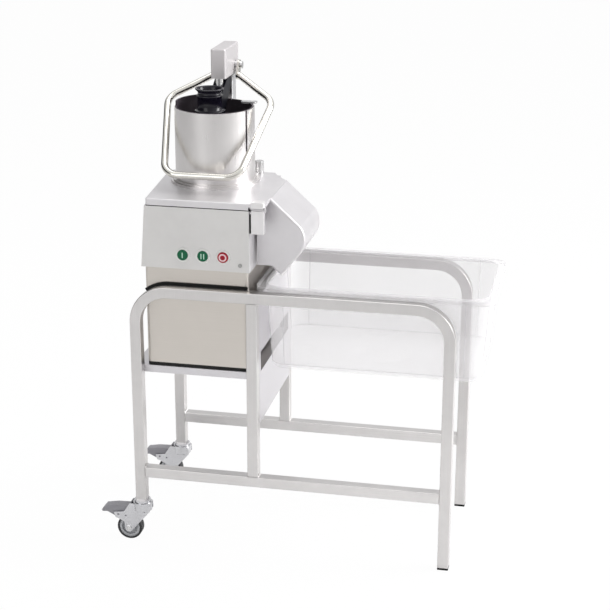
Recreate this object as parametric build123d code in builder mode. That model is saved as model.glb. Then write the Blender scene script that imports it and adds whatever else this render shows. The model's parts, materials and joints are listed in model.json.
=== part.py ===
from build123d import *
import math
import os

os.makedirs("parts", exist_ok=True)

# Vegetable preparation machine on a trolley, in millimetres.
# X runs to the food pan, Y to the back, Z up. The floor is Z = 0.

# Clearances and sheet
pin_fit = 0.05  # on the radius, between a turning pin and its bore
gap = 0.3  # between pieces that move past each other
sheet = 1.5

# Food pan
pan_length = 530.0
pan_width = 325.0
pan_depth = 200.0
pan_wall = 2.5
pan_rim_end = 14.0
pan_rim_side = 12.5
pan_rim_height = 10.0
pan_draft = 4.0
pan_corner = 48.0
pan_rim_corner = 30.0
pan_floor_radius = 14.0
pan_overlap = 9.3  # rim over the middle posts
pan_overhang = 78.5  # rim beyond the right-hand legs

# Trolley of square tube
tube = 25.0
tube_wall = 1.5
tube_corner = 2.0
rim_margin = 17.5  # rim of the pan to the outside of each hoop
rail_top = 632.0
bend_radius = 87.0
lower_rail_top = 189.0
cap_thickness = 5.0
plug_fit = 0.1
plug_length = 22.0
shelf_top = 436.0
shelf_lip = 17.0
splash_thickness = 2.0
splash_height = 302.0
splash_below_rail = 14.0
slot_above_shelf = 1.0
slot_height = 46.0
slot_margin = 12.0
buffer_proud = 6.0
buffer_seat = 12.0
buffer_thickness = 3.0
buffer_end_angle = 127.0

# Castors
castor_height = 103.0
collar_height = 6.0
swivel_radius = 22.0
swivel_height = 20.0
swivel_wall = 3.0
king_pin_radius = 6.0
rivet_thickness = 3.0
castor_trail = 31.0
wheel_radius = 30.0
tyre_depth = 5.0
tyre_width = 22.0
hub_width = 18.0
hub_ring = 6.0
axle_radius = 4.0
cheek_inside = 13.5
cheek_thickness = 2.5
axle_boss = 9.0
pin_boss = 9.0
pedal_pin_radius = 2.5
pedal_pin_x = 56.0
pedal_pin_z = 64.0
pedal_tip = 42.0  # from its pin

# Motor base
base_inset = 31.5  # left end of the frame to the casing
base_width = 237.0
base_height = 246.0
base_corner = 8.0
base_flange = 12.0
base_plate_thickness = 3.0
post_clearance = 1.3
skid_height = 8.0
skid_width = 14.0
skid_inset = 2.0
gland_radius = 11.0
gland_neck = 8.0
gland_bore = 4.0
gland_reach = 12.0
gland_x = 70.0
gland_height = 30.0

# Cast housing under the head
skirt_height = 16.0
skirt_clearance = 1.5
housing_height = 142.0
housing_overhang_right = 7.0
housing_overhang_left = 4.5
housing_overhang_front = 10.0
housing_overhang_rear = 6.0
housing_lean = 10.5
housing_wall_front = 14.0
housing_wall_left = 6.0
housing_wall_right = 11.0
housing_deck = 8.0
shaft_hole = 1.0  # round the shoulder of the shaft
panel_thickness = 1.2
bowl_radius = 98.0
bowl_wall = 5.0
bowl_depth = 68.0
bowl_floor_thickness = 6.0
outlet_before_axis = 125.0
outlet_behind_axis = 15.0

# Buttons
button_radius = 12.0
bezel_width = 4.5
bezel_thickness = 2.0
button_proud = 4.5
button_height = 33.0
button_spacing = 46.0
button_middle = 20.0  # middle plane to the middle button
button_reach = 16.0
screw_inset = 21.0
screw_height = 16.0
screw_radius = 2.0
screw_head = 4.5
screw_head_height = 1.5
screw_length = 7.0

# Motor and spindle
motor_radius = 80.0
motor_length = 222.0
motor_fins = 16
motor_flange_radius = 100.0
motor_flange = 8.0
rotor_radius = 49.5
rotor_gap = 0.5
rotor_end_gap = 8.0
bearing_radius = 20.0
bearing_height = 12.0
shaft_radius = 12.0
shaft_tail = 28.0
shoulder_radius = 15.0
shoulder_height = 14.0
hub_wall = 8.0
fan_radius = 72.0
fan_height = 16.0
fan_blades = 8
plate_gap = 4.0  # ejector plate to the bowl's wall
plate_thickness = 3.0
paddle_height = 18.0
disc_gap = 3.0  # slicing disc to the bowl's wall
disc_drop = 11.0  # top of the housing down to the disc
disc_thickness = 3.0
blade_length = 66.0
blade_width = 16.0
blade_slot = 8.0
blade_thickness = 1.5
blade_offset = 12.0
blade_rim = 10.0  # left outside the blade
thread_radius = 8.0
nut_radius = 14.0
nut_height = 6.0

# Head casting, measured from the housing that it covers
lid_height = 16.0
lid_plate = 8.0
lid_wall = 6.0
lid_overhang_front = 1.0
lid_overhang_right = 35.0
lid_inset_left = 3.0
lid_overhang_rear_left = 14.0
lid_behind_axis = 92.0
lid_corner = 5.0
lid_edge = 2.5
lid_cut = 27.0  # slanted corners at the back
lid_step = 50.0  # straight stretch on the left behind the lean
skirt_inset_right = 1.5
hinge_behind_housing = 20.0
hinge_rise = 4.0
hinge_pin_radius = 5.0
hinge_barrel_radius = 11.0
lobe_half_width = 38.0
ear_width = 11.5
ear_gap = 0.5
ear_drop = 42.0
ear_seat = 2.0  # into the rear wall
hinge_pin_head = 3.5
hood_margin = 15.0  # beyond each side of the outlet
hood_wall = 5.0
hood_skin = 4.0
hood_start = 5.0  # each hood length is measured from the housing's right side
hood_crest = 37.0
hood_shoulder = 103.0
hood_nose = 113.5
hood_chin = 98.0
hood_lip = 60.4
hood_shoulder_drop = 61.0  # each hood height is measured down from the lid's top
hood_nose_drop = 95.0
hood_chin_drop = 130.0
hood_heel_drop = 154.0
hood_lip_drop = 177.0
hood_round = 6.0

# Latch and clamp knob
latch_width = 28.0
latch_setback = 8.0
latch_drop = 7.5
latch_length = 52.5
latch_thickness = 8.0
latch_pin_radius = 2.5
latch_eye = 3.0
latch_lug = 2.0
catch_width = 27.0
catch_height = 20.0
catch_thickness = 2.5
catch_rise = 4.0  # above the end of the latch
knob_x = 84.9
knob_behind_axis = 78.0
knob_radius = 10.0
knob_height = 30.0
knob_ribs = 12
knob_groove = 1.2
stud_radius = 4.0
stud_height = 18.0

# Hopper
hopper_radius = 91.0
hopper_wall = 2.0
hopper_height = 171.0
flange_width = 11.0
flange_height = 5.0
bead_width = 6.0
bead_height = 4.0
slot_width = 6.0
slot_start = 68.0
slot_angle = -24.0

# Column, block and pusher
column_width = 30.0
column_depth = 34.0
column_wall = 2.5
column_margin = 6.0  # hopper flange to the column, and column to the hinge
column_above_hopper = 51.0
rod_rise = 4.0
block_behind = 16.0
block_width = 35.0
block_gap = 4.0
block_height = 67.0
block_wall = 2.5
block_corner = 5.0
pivot_behind = 5.0
pivot_height = 17.0
pivot_radius = 5.0
pivot_head = 8.5
pivot_head_length = 5.7
pivot_spacer = 9.0
bracket_inside = 23.0
bracket_thickness = 5.0
bracket_radius = 12.0
pusher_rod_radius = 8.75
rod_behind_axis = 47.5
drum_running_gap = 0.6
drum_wall = 3.0
drum_floor = 6.0
drum_rise = 1.0  # top of the housing to the drum's underside
drum_crest = 11.0
crest_start = 95.0
crest_end = 190.0
feed_before_axis = 40.0
feed_radius = 27.5
feed_wall = 3.0
feed_above_hopper = 49.0
feed_flange = 35.0
feed_flange_height = 4.0
feed_ring = 29.4
feed_ring_height = 5.0
feed_waist = 26.5
feed_waist_height = 3.0
mouth_radius = 32.7
mouth_height = 13.0
mouth_wall = 2.2
arm_width = 28.0
arm_foot = 27.0
lug_right = 69.0  # middle plane to the middle of the lug
lug_behind_axis = 49.0
lug_length = 36.0
lug_width = 18.0
lug_height = 4.0

# Loop handle
handle_radius = 8.0
handle_bend = 38.0
root_forward = 13.0  # from the pivot
root_drop = 20.0
shoulder_outside = 33.0  # from the hopper's side
shoulder_forward = 79.0
shoulder_drop = 67.5
grip_half_width = 85.3
grip_before_hopper = 33.4
grip_rise = 38.0  # above the lid

# Trolley places
post_offset = base_inset + base_width + post_clearance + tube / 2
pan_setback = post_offset + tube / 2 - pan_overlap
frame_length = pan_setback + pan_length - pan_overhang
frame_depth = pan_width + 2 * rim_margin
pedal_reach = pedal_pin_x + pedal_tip
overall_length = pedal_reach - tube / 2 + pan_setback + pan_length
frame_left = -overall_length / 2 + pedal_reach - tube / 2
frame_right = frame_left + frame_length
left_leg_x = frame_left + tube / 2
right_leg_x = frame_right - tube / 2
post_x = frame_left + post_offset
side_y = frame_depth / 2 - tube / 2
inner_y = frame_depth / 2 - tube
tube_bore = tube - 2 * tube_wall
plug = tube_bore - 2 * plug_fit
splash_top = rail_top - splash_below_rail
splash_bottom = splash_top - splash_height
slot_bottom = shelf_top + slot_above_shelf
slot_top = slot_bottom + slot_height

# Machine places, from the shelf up
machine_x = frame_left + base_inset + base_width / 2
base_depth = 2 * (inner_y - buffer_thickness)
base_bottom = shelf_top + skid_height
base_top = base_bottom + base_height
housing_bottom = base_top - skirt_height
housing_top = housing_bottom + housing_height
housing_right = base_width / 2 + housing_overhang_right
housing_left_bottom = base_width / 2 + housing_overhang_left
housing_left_top = housing_left_bottom - housing_lean
housing_front = base_depth / 2 + housing_overhang_front
housing_rear = base_depth / 2 + housing_overhang_rear
hinge_y = housing_rear + hinge_behind_housing
hinge_z = housing_top + hinge_rise
column_y = hinge_y - column_margin - column_depth / 2
flange_radius = hopper_radius + flange_width
bead_radius = hopper_radius + bead_width
bowl_y = column_y - column_depth / 2 - column_margin - flange_radius
bowl_floor = housing_top - bowl_depth
outlet_front = bowl_y - outlet_before_axis
outlet_rear = bowl_y + outlet_behind_axis
button_z = housing_bottom + button_height
motor_top = bowl_floor - bowl_floor_thickness
motor_bottom = motor_top - motor_length
shaft_bottom = motor_bottom - shaft_tail
shoulder_top = bowl_floor + shoulder_height
plate_radius = bowl_radius - plate_gap
disc_radius = bowl_radius - disc_gap
disc_bottom = housing_top - disc_drop
lid_top = housing_top + lid_height
lid_front = housing_front + lid_overhang_front
lid_rear = bowl_y + lid_behind_axis
lid_left_front = housing_left_top - lid_inset_left
lid_left_rear = housing_left_top + lid_overhang_rear_left
lid_right = housing_right + lid_overhang_right
skirt_right = housing_right - skirt_inset_right
hood_front = outlet_front - hood_margin
hood_rear = outlet_rear + hood_margin
hood_side = machine_x + housing_right
hopper_top = lid_top + hopper_height
column_top = hopper_top + column_above_hopper
block_bottom = column_top + block_gap
block_top = block_bottom + block_height
pivot_y = column_y + pivot_behind
pivot_z = block_bottom + pivot_height
pusher_rod_y = bowl_y + rod_behind_axis
block_front = pusher_rod_y - pusher_rod_radius - block_wall - gap
block_rear = column_y + column_depth / 2 + block_behind
drum_bottom = housing_top + drum_rise
feed_y = bowl_y - feed_before_axis
feed_top = hopper_top + feed_above_hopper
feed_bore = feed_radius - feed_wall
feed_collar_top = hopper_top - 1


# Front and rear hoop: one bent tube from the castor leg over to the capped leg
for side, y in (("front", -side_y), ("rear", side_y)):
    with BuildPart() as hoop:
        with BuildLine(Plane.XZ.offset(-y)):
            FilletPolyline(
                (left_leg_x, castor_height),
                (left_leg_x, rail_top - tube / 2),
                (right_leg_x, rail_top - tube / 2),
                (right_leg_x, cap_thickness),
                radius=bend_radius - tube / 2,
            )
        with BuildSketch(Plane.XY.offset(castor_height)):
            with Locations((left_leg_x, y)):
                RectangleRounded(tube, tube, tube_corner)
                Rectangle(tube_bore, tube_bore, mode=Mode.SUBTRACT)
        sweep()
    hoop.part.label = f"{side}_hoop"
    export_step(hoop.part, f"parts/{side}_hoop.step")

    # Lower rail between the legs
    rail_length = frame_length - 2 * tube
    with BuildPart() as rail:
        with BuildSketch(Plane.YZ.offset(frame_left + tube)):
            with Locations((y, lower_rail_top - tube / 2)):
                RectangleRounded(tube, tube, tube_corner)
                Rectangle(tube_bore, tube_bore, mode=Mode.SUBTRACT)
        extrude(amount=rail_length)
    rail.part.label = f"{side}_lower_rail"
    export_step(rail.part, f"parts/{side}_lower_rail.step")

    # Middle post from the lower rail to the hoop
    with BuildPart() as post:
        with BuildSketch(Plane.XY.offset(lower_rail_top)):
            with Locations((post_x, y)):
                RectangleRounded(tube, tube, tube_corner)
                Rectangle(tube_bore, tube_bore, mode=Mode.SUBTRACT)
        extrude(amount=rail_top - tube - lower_rail_top)
    post.part.label = f"{side}_post"
    export_step(post.part, f"parts/{side}_post.step")

# Splash panel beside the pan, with its long slot
splash_right = post_x + tube / 2
splash_left = splash_right - splash_thickness
with BuildPart() as splash:
    with BuildSketch(Plane.YZ.offset(splash_left)):
        with Locations((0, (splash_bottom + splash_top) / 2)):
            Rectangle(2 * inner_y, splash_top - splash_bottom)
        with Locations((0, (slot_bottom + slot_top) / 2)):
            Rectangle(2 * (inner_y - slot_margin), slot_top - slot_bottom, mode=Mode.SUBTRACT)
    extrude(amount=splash_thickness)
splash.part.label = "splash_panel"
export_step(splash.part, "parts/splash_panel.step")

# Shelf: a folded tray, open below, that carries the motor base
shelf_length = splash_left - frame_left
shelf_x = (splash_left + frame_left) / 2
with BuildPart() as shelf:
    with BuildSketch(Plane.XY.offset(shelf_top)):
        with Locations((shelf_x, 0)):
            Rectangle(shelf_length, 2 * inner_y)
    extrude(amount=-shelf_lip)
    with BuildSketch(Plane.XY.offset(shelf_top - sheet)):
        with Locations((shelf_x, 0)):
            Rectangle(shelf_length - 2 * sheet, 2 * inner_y - 2 * sheet)
    extrude(amount=-shelf_lip, mode=Mode.SUBTRACT)
shelf.part.label = "shelf"
export_step(shelf.part, "parts/shelf.step")

# Rubber buffers that follow the bend of each hoop, between it and the motor base
bend_x = frame_left + bend_radius
bend_z = rail_top - bend_radius
buffer_outer = bend_radius + buffer_proud
buffer_inner = bend_radius - buffer_seat
buffer_right = machine_x + base_width / 2
buffer_turn = buffer_end_angle - 90
with BuildPart() as buffers:
    with BuildSketch(Plane.XZ.offset(inner_y)):
        with BuildLine():
            top = Line((buffer_right, bend_z + buffer_outer), (bend_x, bend_z + buffer_outer))
            over = CenterArc((bend_x, bend_z), buffer_outer, 90, buffer_turn)
            under = CenterArc((bend_x, bend_z), buffer_inner, 90, buffer_turn)
            Line(over @ 1, under @ 1)
            low = Line(under @ 0, (buffer_right, bend_z + buffer_inner))
            Line(low @ 1, top @ 0)
        make_face()
    extrude(amount=-buffer_thickness)
    mirror(about=Plane.XZ)
buffers.part.label = "edge_buffers"
export_step(buffers.part, "parts/edge_buffers.step")

# Plastic caps in the right-hand legs
with BuildPart() as caps:
    with BuildSketch():
        with Locations((right_leg_x, -side_y)):
            RectangleRounded(tube, tube, tube_corner)
    extrude(amount=cap_thickness)
    with BuildSketch(Plane.XY.offset(cap_thickness)):
        with Locations((right_leg_x, -side_y)):
            Rectangle(plug, plug)
    extrude(amount=plug_length)
    mirror(about=Plane.XZ)
caps.part.label = "leg_caps"
export_step(caps.part, "parts/leg_caps.step")

# Braked swivel castors under the left-hand legs
fork_top = castor_height - collar_height - gap
fork_plate_bottom = fork_top - swivel_wall
wheel_x = left_leg_x - castor_trail
hub_radius = wheel_radius - tyre_depth
cheek_outside = cheek_inside + cheek_thickness
pedal_x = left_leg_x - pedal_pin_x
pedal_pin = (pedal_x, pedal_pin_z)
cheek_outline = [
    (left_leg_x + swivel_radius - 2, fork_plate_bottom),
    (left_leg_x + swivel_radius - 1, fork_top - swivel_height),
    (wheel_x + axle_boss - 1, wheel_radius - axle_boss / 2),
    (wheel_x - axle_boss + 1, wheel_radius - axle_boss / 2),
    (wheel_x - axle_boss - 2, wheel_radius + 2 * axle_boss - 2),
    (pedal_x - 2, pedal_pin_z - pin_boss - 1),
    (pedal_x - 7, pedal_pin_z - pin_boss),
    (pedal_x - pin_boss - 2, pedal_pin_z + pin_boss / 2),
    (pedal_x + 14, pedal_pin_z + pin_boss - 1),
    (left_leg_x - swivel_radius - 6, fork_plate_bottom),
]
pedal_outline = [
    (pedal_x + 26, pedal_pin_z + 22),
    (pedal_x - 6, pedal_pin_z + 21),
    (pedal_x - pedal_tip + 8, pedal_pin_z + 16),
    (pedal_x - pedal_tip, pedal_pin_z + 6),
    (pedal_x - pedal_tip + 2, pedal_pin_z + 2),
    (pedal_x - pedal_tip + 14, pedal_pin_z + 3),
    (pedal_x - 10, pedal_pin_z - 6),
    (pedal_x + 6, pedal_pin_z - 6),
    (pedal_x + 13, pedal_pin_z + 2),
]
for side, y in (("front", -side_y), ("rear", side_y)):
    with BuildPart() as stem:
        with BuildSketch(Plane.XY.offset(castor_height)):
            with Locations((left_leg_x, y)):
                Rectangle(plug, plug)
        extrude(amount=plug_length)
        with BuildSketch(Plane.XY.offset(castor_height - collar_height)):
            with Locations((left_leg_x, y)):
                Circle(swivel_radius - swivel_wall)
        extrude(amount=collar_height)
        with BuildSketch(Plane.XY.offset(fork_plate_bottom - gap)):
            with Locations((left_leg_x, y)):
                Circle(king_pin_radius)
        extrude(amount=castor_height - collar_height - fork_plate_bottom + gap)
        with BuildSketch(Plane.XY.offset(fork_plate_bottom - gap)):
            with Locations((left_leg_x, y)):
                Circle(king_pin_radius + rivet_thickness)
        extrude(amount=-rivet_thickness)
    stem.part.label = f"castor_stem_{side}"
    export_step(stem.part, f"parts/castor_stem_{side}.step")

    # Pressed fork: a round cup with two cheeks that come down to the axle
    with BuildPart() as fork:
        for plane_y in (y - cheek_outside, y + cheek_inside):
            with BuildSketch(Plane.XZ.offset(-plane_y)):
                with BuildLine():
                    Polyline(*cheek_outline, close=True)
                make_face()
                with Locations((wheel_x, wheel_radius)):
                    Circle(axle_boss)
                    Circle(axle_radius, mode=Mode.SUBTRACT)
                with Locations(pedal_pin):
                    Circle(pedal_pin_radius + pin_fit, mode=Mode.SUBTRACT)
            extrude(amount=-cheek_thickness)
        with BuildSketch(Plane.XY.offset(fork_top)):
            with Locations((left_leg_x, y)):
                Circle(swivel_radius)
        extrude(amount=-swivel_height)
        with BuildSketch(Plane.XY.offset(fork_plate_bottom)):
            with Locations((left_leg_x, y)):
                Circle(swivel_radius - swivel_wall)
        extrude(amount=-swivel_height, mode=Mode.SUBTRACT)
        with BuildSketch(Plane.XY.offset(fork_top)):
            with Locations((left_leg_x, y)):
                Circle(king_pin_radius + pin_fit)
        extrude(amount=-swivel_wall, mode=Mode.SUBTRACT)
    fork.part.label = f"castor_fork_{side}"
    export_step(fork.part, f"parts/castor_fork_{side}.step")

    with BuildPart() as axle:
        with BuildSketch(Plane.XZ.offset(-y)):
            with Locations((wheel_x, wheel_radius)):
                Circle(axle_radius)
        extrude(amount=cheek_outside, both=True)
        for plane_y, direction in ((y - cheek_outside, 1), (y + cheek_outside, -1)):
            with BuildSketch(Plane.XZ.offset(-plane_y)):
                with Locations((wheel_x, wheel_radius)):
                    RegularPolygon(axle_radius + 2.5, 6)
            extrude(amount=direction * cheek_thickness)
    axle.part.label = f"castor_axle_{side}"
    export_step(axle.part, f"parts/castor_axle_{side}.step")

    # Wheel hub with a rim ring, a thin web and a boss
    with BuildPart() as hub:
        with BuildSketch(Plane.XZ.offset(-y)):
            with Locations((wheel_x, wheel_radius)):
                Circle(hub_radius)
        extrude(amount=hub_width / 2, both=True)
        for direction in (1, -1):
            with BuildSketch(Plane.XZ.offset(-y + direction * hub_width / 2)):
                with Locations((wheel_x, wheel_radius)):
                    Circle(hub_radius - hub_ring)
            extrude(amount=-direction * hub_width / 3, mode=Mode.SUBTRACT)
        with BuildSketch(Plane.XZ.offset(-y)):
            with Locations((wheel_x, wheel_radius)):
                Circle(axle_radius + 4)
        extrude(amount=cheek_inside - gap, both=True)
        with BuildSketch(Plane.XZ.offset(-y)):
            with Locations((wheel_x, wheel_radius)):
                Circle(axle_radius + pin_fit)
        extrude(amount=cheek_inside, both=True, mode=Mode.SUBTRACT)
    hub.part.label = f"wheel_hub_{side}"
    export_step(hub.part, f"parts/wheel_hub_{side}.step")

    with BuildPart() as tyre:
        with BuildSketch(Plane.XZ.offset(-y)):
            with Locations((wheel_x, wheel_radius)):
                Circle(wheel_radius)
        extrude(amount=tyre_width / 2, both=True)
        fillet(tyre.edges().filter_by(GeomType.CIRCLE), radius=tyre_depth / 2)
        with BuildSketch(Plane.XZ.offset(-y)):
            with Locations((wheel_x, wheel_radius)):
                Circle(hub_radius)
        extrude(amount=tyre_width / 2, both=True, mode=Mode.SUBTRACT)
    tyre.part.label = f"tyre_{side}"
    export_step(tyre.part, f"parts/tyre_{side}.step")

    # Brake pedal between the cheeks, with its cross pin
    with BuildPart() as pedal:
        with BuildSketch(Plane.XZ.offset(-y)):
            with BuildLine():
                Polyline(*pedal_outline, close=True)
            make_face()
        extrude(amount=cheek_inside - 5 * gap, both=True)
        with BuildSketch(Plane.XZ.offset(-y)):
            with Locations(pedal_pin):
                Circle(pedal_pin_radius)
        extrude(amount=cheek_outside + 0.5, both=True)
    pedal.part.label = f"brake_pedal_{side}"
    export_step(pedal.part, f"parts/brake_pedal_{side}.step")

# Food pan: a drafted tub whose folded rim stands on both hoops
pan_left = frame_left + pan_setback
pan_x = pan_left + pan_length / 2
pan_top = rail_top + pan_rim_height
with BuildPart() as pan:
    with BuildSketch(Plane.XY.offset(pan_top)):
        with Locations((pan_x, 0)):
            RectangleRounded(pan_length - 2 * pan_rim_end, pan_width - 2 * pan_rim_side, pan_corner)
    extrude(amount=-pan_depth, taper=pan_draft)
    with BuildSketch(Plane.XY.offset(pan_top)):
        with Locations((pan_x, 0)):
            RectangleRounded(pan_length, pan_width, pan_rim_corner)
    extrude(amount=-pan_rim_height)
    with BuildSketch(Plane.XY.offset(pan_top - pan_wall)):
        with Locations((pan_x, 0)):
            RectangleRounded(
                pan_length - 2 * pan_wall, pan_width - 2 * pan_wall, pan_rim_corner - pan_wall
            )
            RectangleRounded(
                pan_length - 2 * pan_rim_end,
                pan_width - 2 * pan_rim_side,
                pan_corner,
                mode=Mode.SUBTRACT,
            )
    extrude(amount=-pan_rim_height, mode=Mode.SUBTRACT)
    with BuildSketch(Plane.XY.offset(pan_top)):
        with Locations((pan_x, 0)):
            RectangleRounded(
                pan_length - 2 * pan_rim_end - 2 * pan_wall,
                pan_width - 2 * pan_rim_side - 2 * pan_wall,
                pan_corner - pan_wall,
            )
    extrude(amount=-(pan_depth - pan_wall), taper=pan_draft, mode=Mode.SUBTRACT)
    pan_floors = pan.faces().filter_by(Axis.Z).sort_by(Axis.Z)
    fillet(pan_floors[1].edges(), radius=pan_floor_radius - pan_wall)
    fillet(pan.faces().sort_by(Axis.Z)[0].edges(), radius=pan_floor_radius)
pan.part.label = "food_pan"
export_step(pan.part, "parts/food_pan.step")

# Motor base: folded casing with an inward flange at the bottom
gland_place = (machine_x + gland_x, base_bottom + gland_height)
with BuildPart() as casing:
    with BuildSketch(Plane.XY.offset(base_bottom)):
        with Locations((machine_x, 0)):
            RectangleRounded(base_width, base_depth, base_corner)
    extrude(amount=base_top - base_bottom)
    with BuildSketch(Plane.XY.offset(base_bottom + sheet)):
        with Locations((machine_x, 0)):
            RectangleRounded(base_width - 2 * sheet, base_depth - 2 * sheet, base_corner - sheet)
    extrude(amount=base_top - base_bottom, mode=Mode.SUBTRACT)
    with BuildSketch(Plane.XY.offset(base_bottom)):
        with Locations((machine_x, 0)):
            Rectangle(base_width - 2 * base_flange, base_depth - 2 * base_flange)
    extrude(amount=sheet, mode=Mode.SUBTRACT)
    with BuildSketch(Plane.XZ.offset(-base_depth / 2)):
        with Locations(gland_place):
            Circle(gland_neck)
    extrude(amount=base_flange, mode=Mode.SUBTRACT)
casing.part.label = "base_casing"
export_step(casing.part, "parts/base_casing.step")

with BuildPart() as plate:
    with BuildSketch(Plane.XY.offset(base_bottom + sheet)):
        with Locations((machine_x, 0)):
            RectangleRounded(
                base_width - 2 * sheet - 2 * gap, base_depth - 2 * sheet - 2 * gap, base_corner - sheet
            )
    extrude(amount=base_plate_thickness)
plate.part.label = "base_plate"
export_step(plate.part, "parts/base_plate.step")

with BuildPart() as skids:
    with BuildSketch(Plane.XY.offset(shelf_top)):
        with Locations((machine_x, -(base_depth / 2 - skid_inset - skid_width / 2))):
            SlotOverall(base_width, skid_width)
    extrude(amount=skid_height)
    mirror(about=Plane.XZ)
skids.part.label = "base_skids"
export_step(skids.part, "parts/base_skids.step")

# Cable gland in the back of the casing
with BuildPart() as gland:
    with BuildSketch(Plane.XZ.offset(-base_depth / 2)):
        with Locations(gland_place):
            RegularPolygon(gland_radius, 6)
    extrude(amount=-gland_reach)
    with BuildSketch(Plane.XZ.offset(-base_depth / 2)):
        with Locations(gland_place):
            Circle(gland_neck)
    extrude(amount=sheet)
    with BuildSketch(Plane.XZ.offset(-base_depth / 2 + sheet)):
        with Locations(gland_place):
            Circle(gland_radius)
    extrude(amount=gland_reach / 2)
    with BuildSketch(Plane.XZ.offset(-base_depth / 2)):
        with Locations(gland_place):
            Circle(gland_bore)
    extrude(amount=2 * gland_reach, both=True, mode=Mode.SUBTRACT)
gland.part.label = "cable_gland"
export_step(gland.part, "parts/cable_gland.step")

# Cast housing: hollow below for the motor, with the bowl and its outlet sunk into the top
button_places = [
    (machine_x + button_middle + step * button_spacing, button_z) for step in (-1, 0, 1)
]
screw_place = (machine_x + housing_right - screw_inset, housing_bottom + screw_height)
housing_corners = [
    (machine_x - housing_left_bottom, housing_bottom),
    (machine_x + housing_right, housing_bottom),
    (machine_x + housing_right, housing_top),
    (machine_x - housing_left_top, housing_top),
]
hollow_left = machine_x - housing_left_top + housing_wall_left
hollow_right = machine_x + housing_right - housing_wall_right
hollow_depth = 2 * (housing_front - housing_wall_front)
with BuildPart() as housing:
    with BuildSketch(Plane.XZ.offset(housing_front)):
        with BuildLine():
            Polyline(*housing_corners, close=True)
        make_face()
    extrude(amount=-(housing_front + housing_rear))
    with BuildSketch(Plane.XY.offset(housing_bottom)):
        with Locations((machine_x, 0)):
            RectangleRounded(
                base_width + 2 * skirt_clearance, base_depth + 2 * skirt_clearance, base_corner
            )
    extrude(amount=base_top - housing_bottom, mode=Mode.SUBTRACT)
    with BuildSketch(Plane.XY.offset(base_top)):
        with Locations(((hollow_left + hollow_right) / 2, 0)):
            Rectangle(hollow_right - hollow_left, hollow_depth)
    extrude(amount=housing_top - housing_deck - base_top, mode=Mode.SUBTRACT)
    with BuildSketch(Plane.XY.offset(motor_top)):
        with Locations((machine_x, bowl_y)):
            Circle(bowl_radius + bowl_wall)
        with Locations((machine_x + housing_right / 2, (outlet_front + outlet_rear) / 2)):
            Rectangle(housing_right, outlet_rear - outlet_front + 2 * bowl_wall)
    extrude(amount=housing_top - motor_top)
    with BuildSketch(Plane.XY.offset(bowl_floor)):
        with Locations((machine_x, bowl_y)):
            Circle(bowl_radius)
        with Locations((machine_x + housing_right, (outlet_front + outlet_rear) / 2)):
            Rectangle(2 * housing_right, outlet_rear - outlet_front)
    extrude(amount=housing_top - bowl_floor, mode=Mode.SUBTRACT)
    with BuildSketch(Plane.XY.offset(motor_top)):
        with Locations((machine_x, bowl_y)):
            Circle(shoulder_radius + shaft_hole)
    extrude(amount=bowl_floor_thickness, mode=Mode.SUBTRACT)
    # Holes for the buttons and the panel screw
    with BuildSketch(Plane.XZ.offset(housing_front)):
        with Locations(*button_places):
            Circle(button_radius + gap)
        with Locations(screw_place):
            Circle(screw_radius)
    extrude(amount=-button_reach, mode=Mode.SUBTRACT)
    # Two ears behind the housing for the head's hinge pin
    ear_inside = lobe_half_width + ear_gap
    for ear_left in (machine_x - ear_inside - ear_width, machine_x + ear_inside):
        with BuildSketch(Plane.YZ.offset(ear_left)):
            with BuildLine():
                Polyline(
                    (housing_rear - ear_seat, housing_top - ear_drop),
                    (housing_rear - ear_seat, housing_top),
                    (hinge_y, hinge_z + hinge_barrel_radius),
                    (hinge_y + hinge_barrel_radius, hinge_z),
                    (hinge_y + hinge_barrel_radius * 0.7, hinge_z - hinge_barrel_radius * 0.7),
                    close=True,
                )
            make_face()
            with Locations((hinge_y, hinge_z)):
                Circle(hinge_barrel_radius)
                Circle(hinge_pin_radius, mode=Mode.SUBTRACT)
        extrude(amount=ear_width)
housing.part.label = "housing"
export_step(housing.part, "parts/housing.step")

# Flat control panel, left bare apart from its buttons
with BuildPart() as panel:
    with BuildSketch(Plane.XZ.offset(housing_front)):
        with BuildLine():
            Polyline(
                (housing_corners[0][0], housing_bottom),
                (housing_corners[1][0], housing_bottom),
                (housing_corners[2][0], housing_top - gap),
                (housing_corners[3][0], housing_top - gap),
                close=True,
            )
        make_face()
        with Locations(*button_places):
            Circle(button_radius + gap, mode=Mode.SUBTRACT)
        with Locations(screw_place):
            Circle(screw_radius, mode=Mode.SUBTRACT)
    extrude(amount=panel_thickness)
panel.part.label = "control_panel"
export_step(panel.part, "parts/control_panel.step")

panel_front = housing_front + panel_thickness
with BuildPart() as bezels:
    with BuildSketch(Plane.XZ.offset(panel_front)):
        with Locations(*button_places):
            Circle(button_radius + bezel_width)
            Circle(button_radius + gap, mode=Mode.SUBTRACT)
    extrude(amount=bezel_thickness)
    chamfer(
        bezels.edges().filter_by(GeomType.CIRCLE).group_by(Axis.Y)[0].group_by(SortBy.RADIUS)[-1],
        length=1,
    )
bezels.part.label = "button_bezels"
export_step(bezels.part, "parts/button_bezels.step")

for place, label in zip(button_places, ("button_start_low", "button_start_high", "button_stop")):
    with BuildPart() as button:
        with BuildSketch(Plane.XZ.offset(panel_front + button_proud)):
            with Locations(place):
                Circle(button_radius)
        extrude(amount=-(button_proud + panel_thickness + button_reach))
        fillet(button.edges().filter_by(GeomType.CIRCLE).sort_by(Axis.Y)[0], radius=1)
    button.part.label = label
    export_step(button.part, f"parts/{label}.step")

with BuildPart() as screw:
    with BuildSketch(Plane.XZ.offset(panel_front)):
        with Locations(screw_place):
            Circle(screw_head)
    extrude(amount=screw_head_height)
    with BuildSketch(Plane.XZ.offset(panel_front)):
        with Locations(screw_place):
            Circle(screw_radius)
    extrude(amount=-screw_length)
screw.part.label = "panel_screw"
export_step(screw.part, "parts/panel_screw.step")

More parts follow.
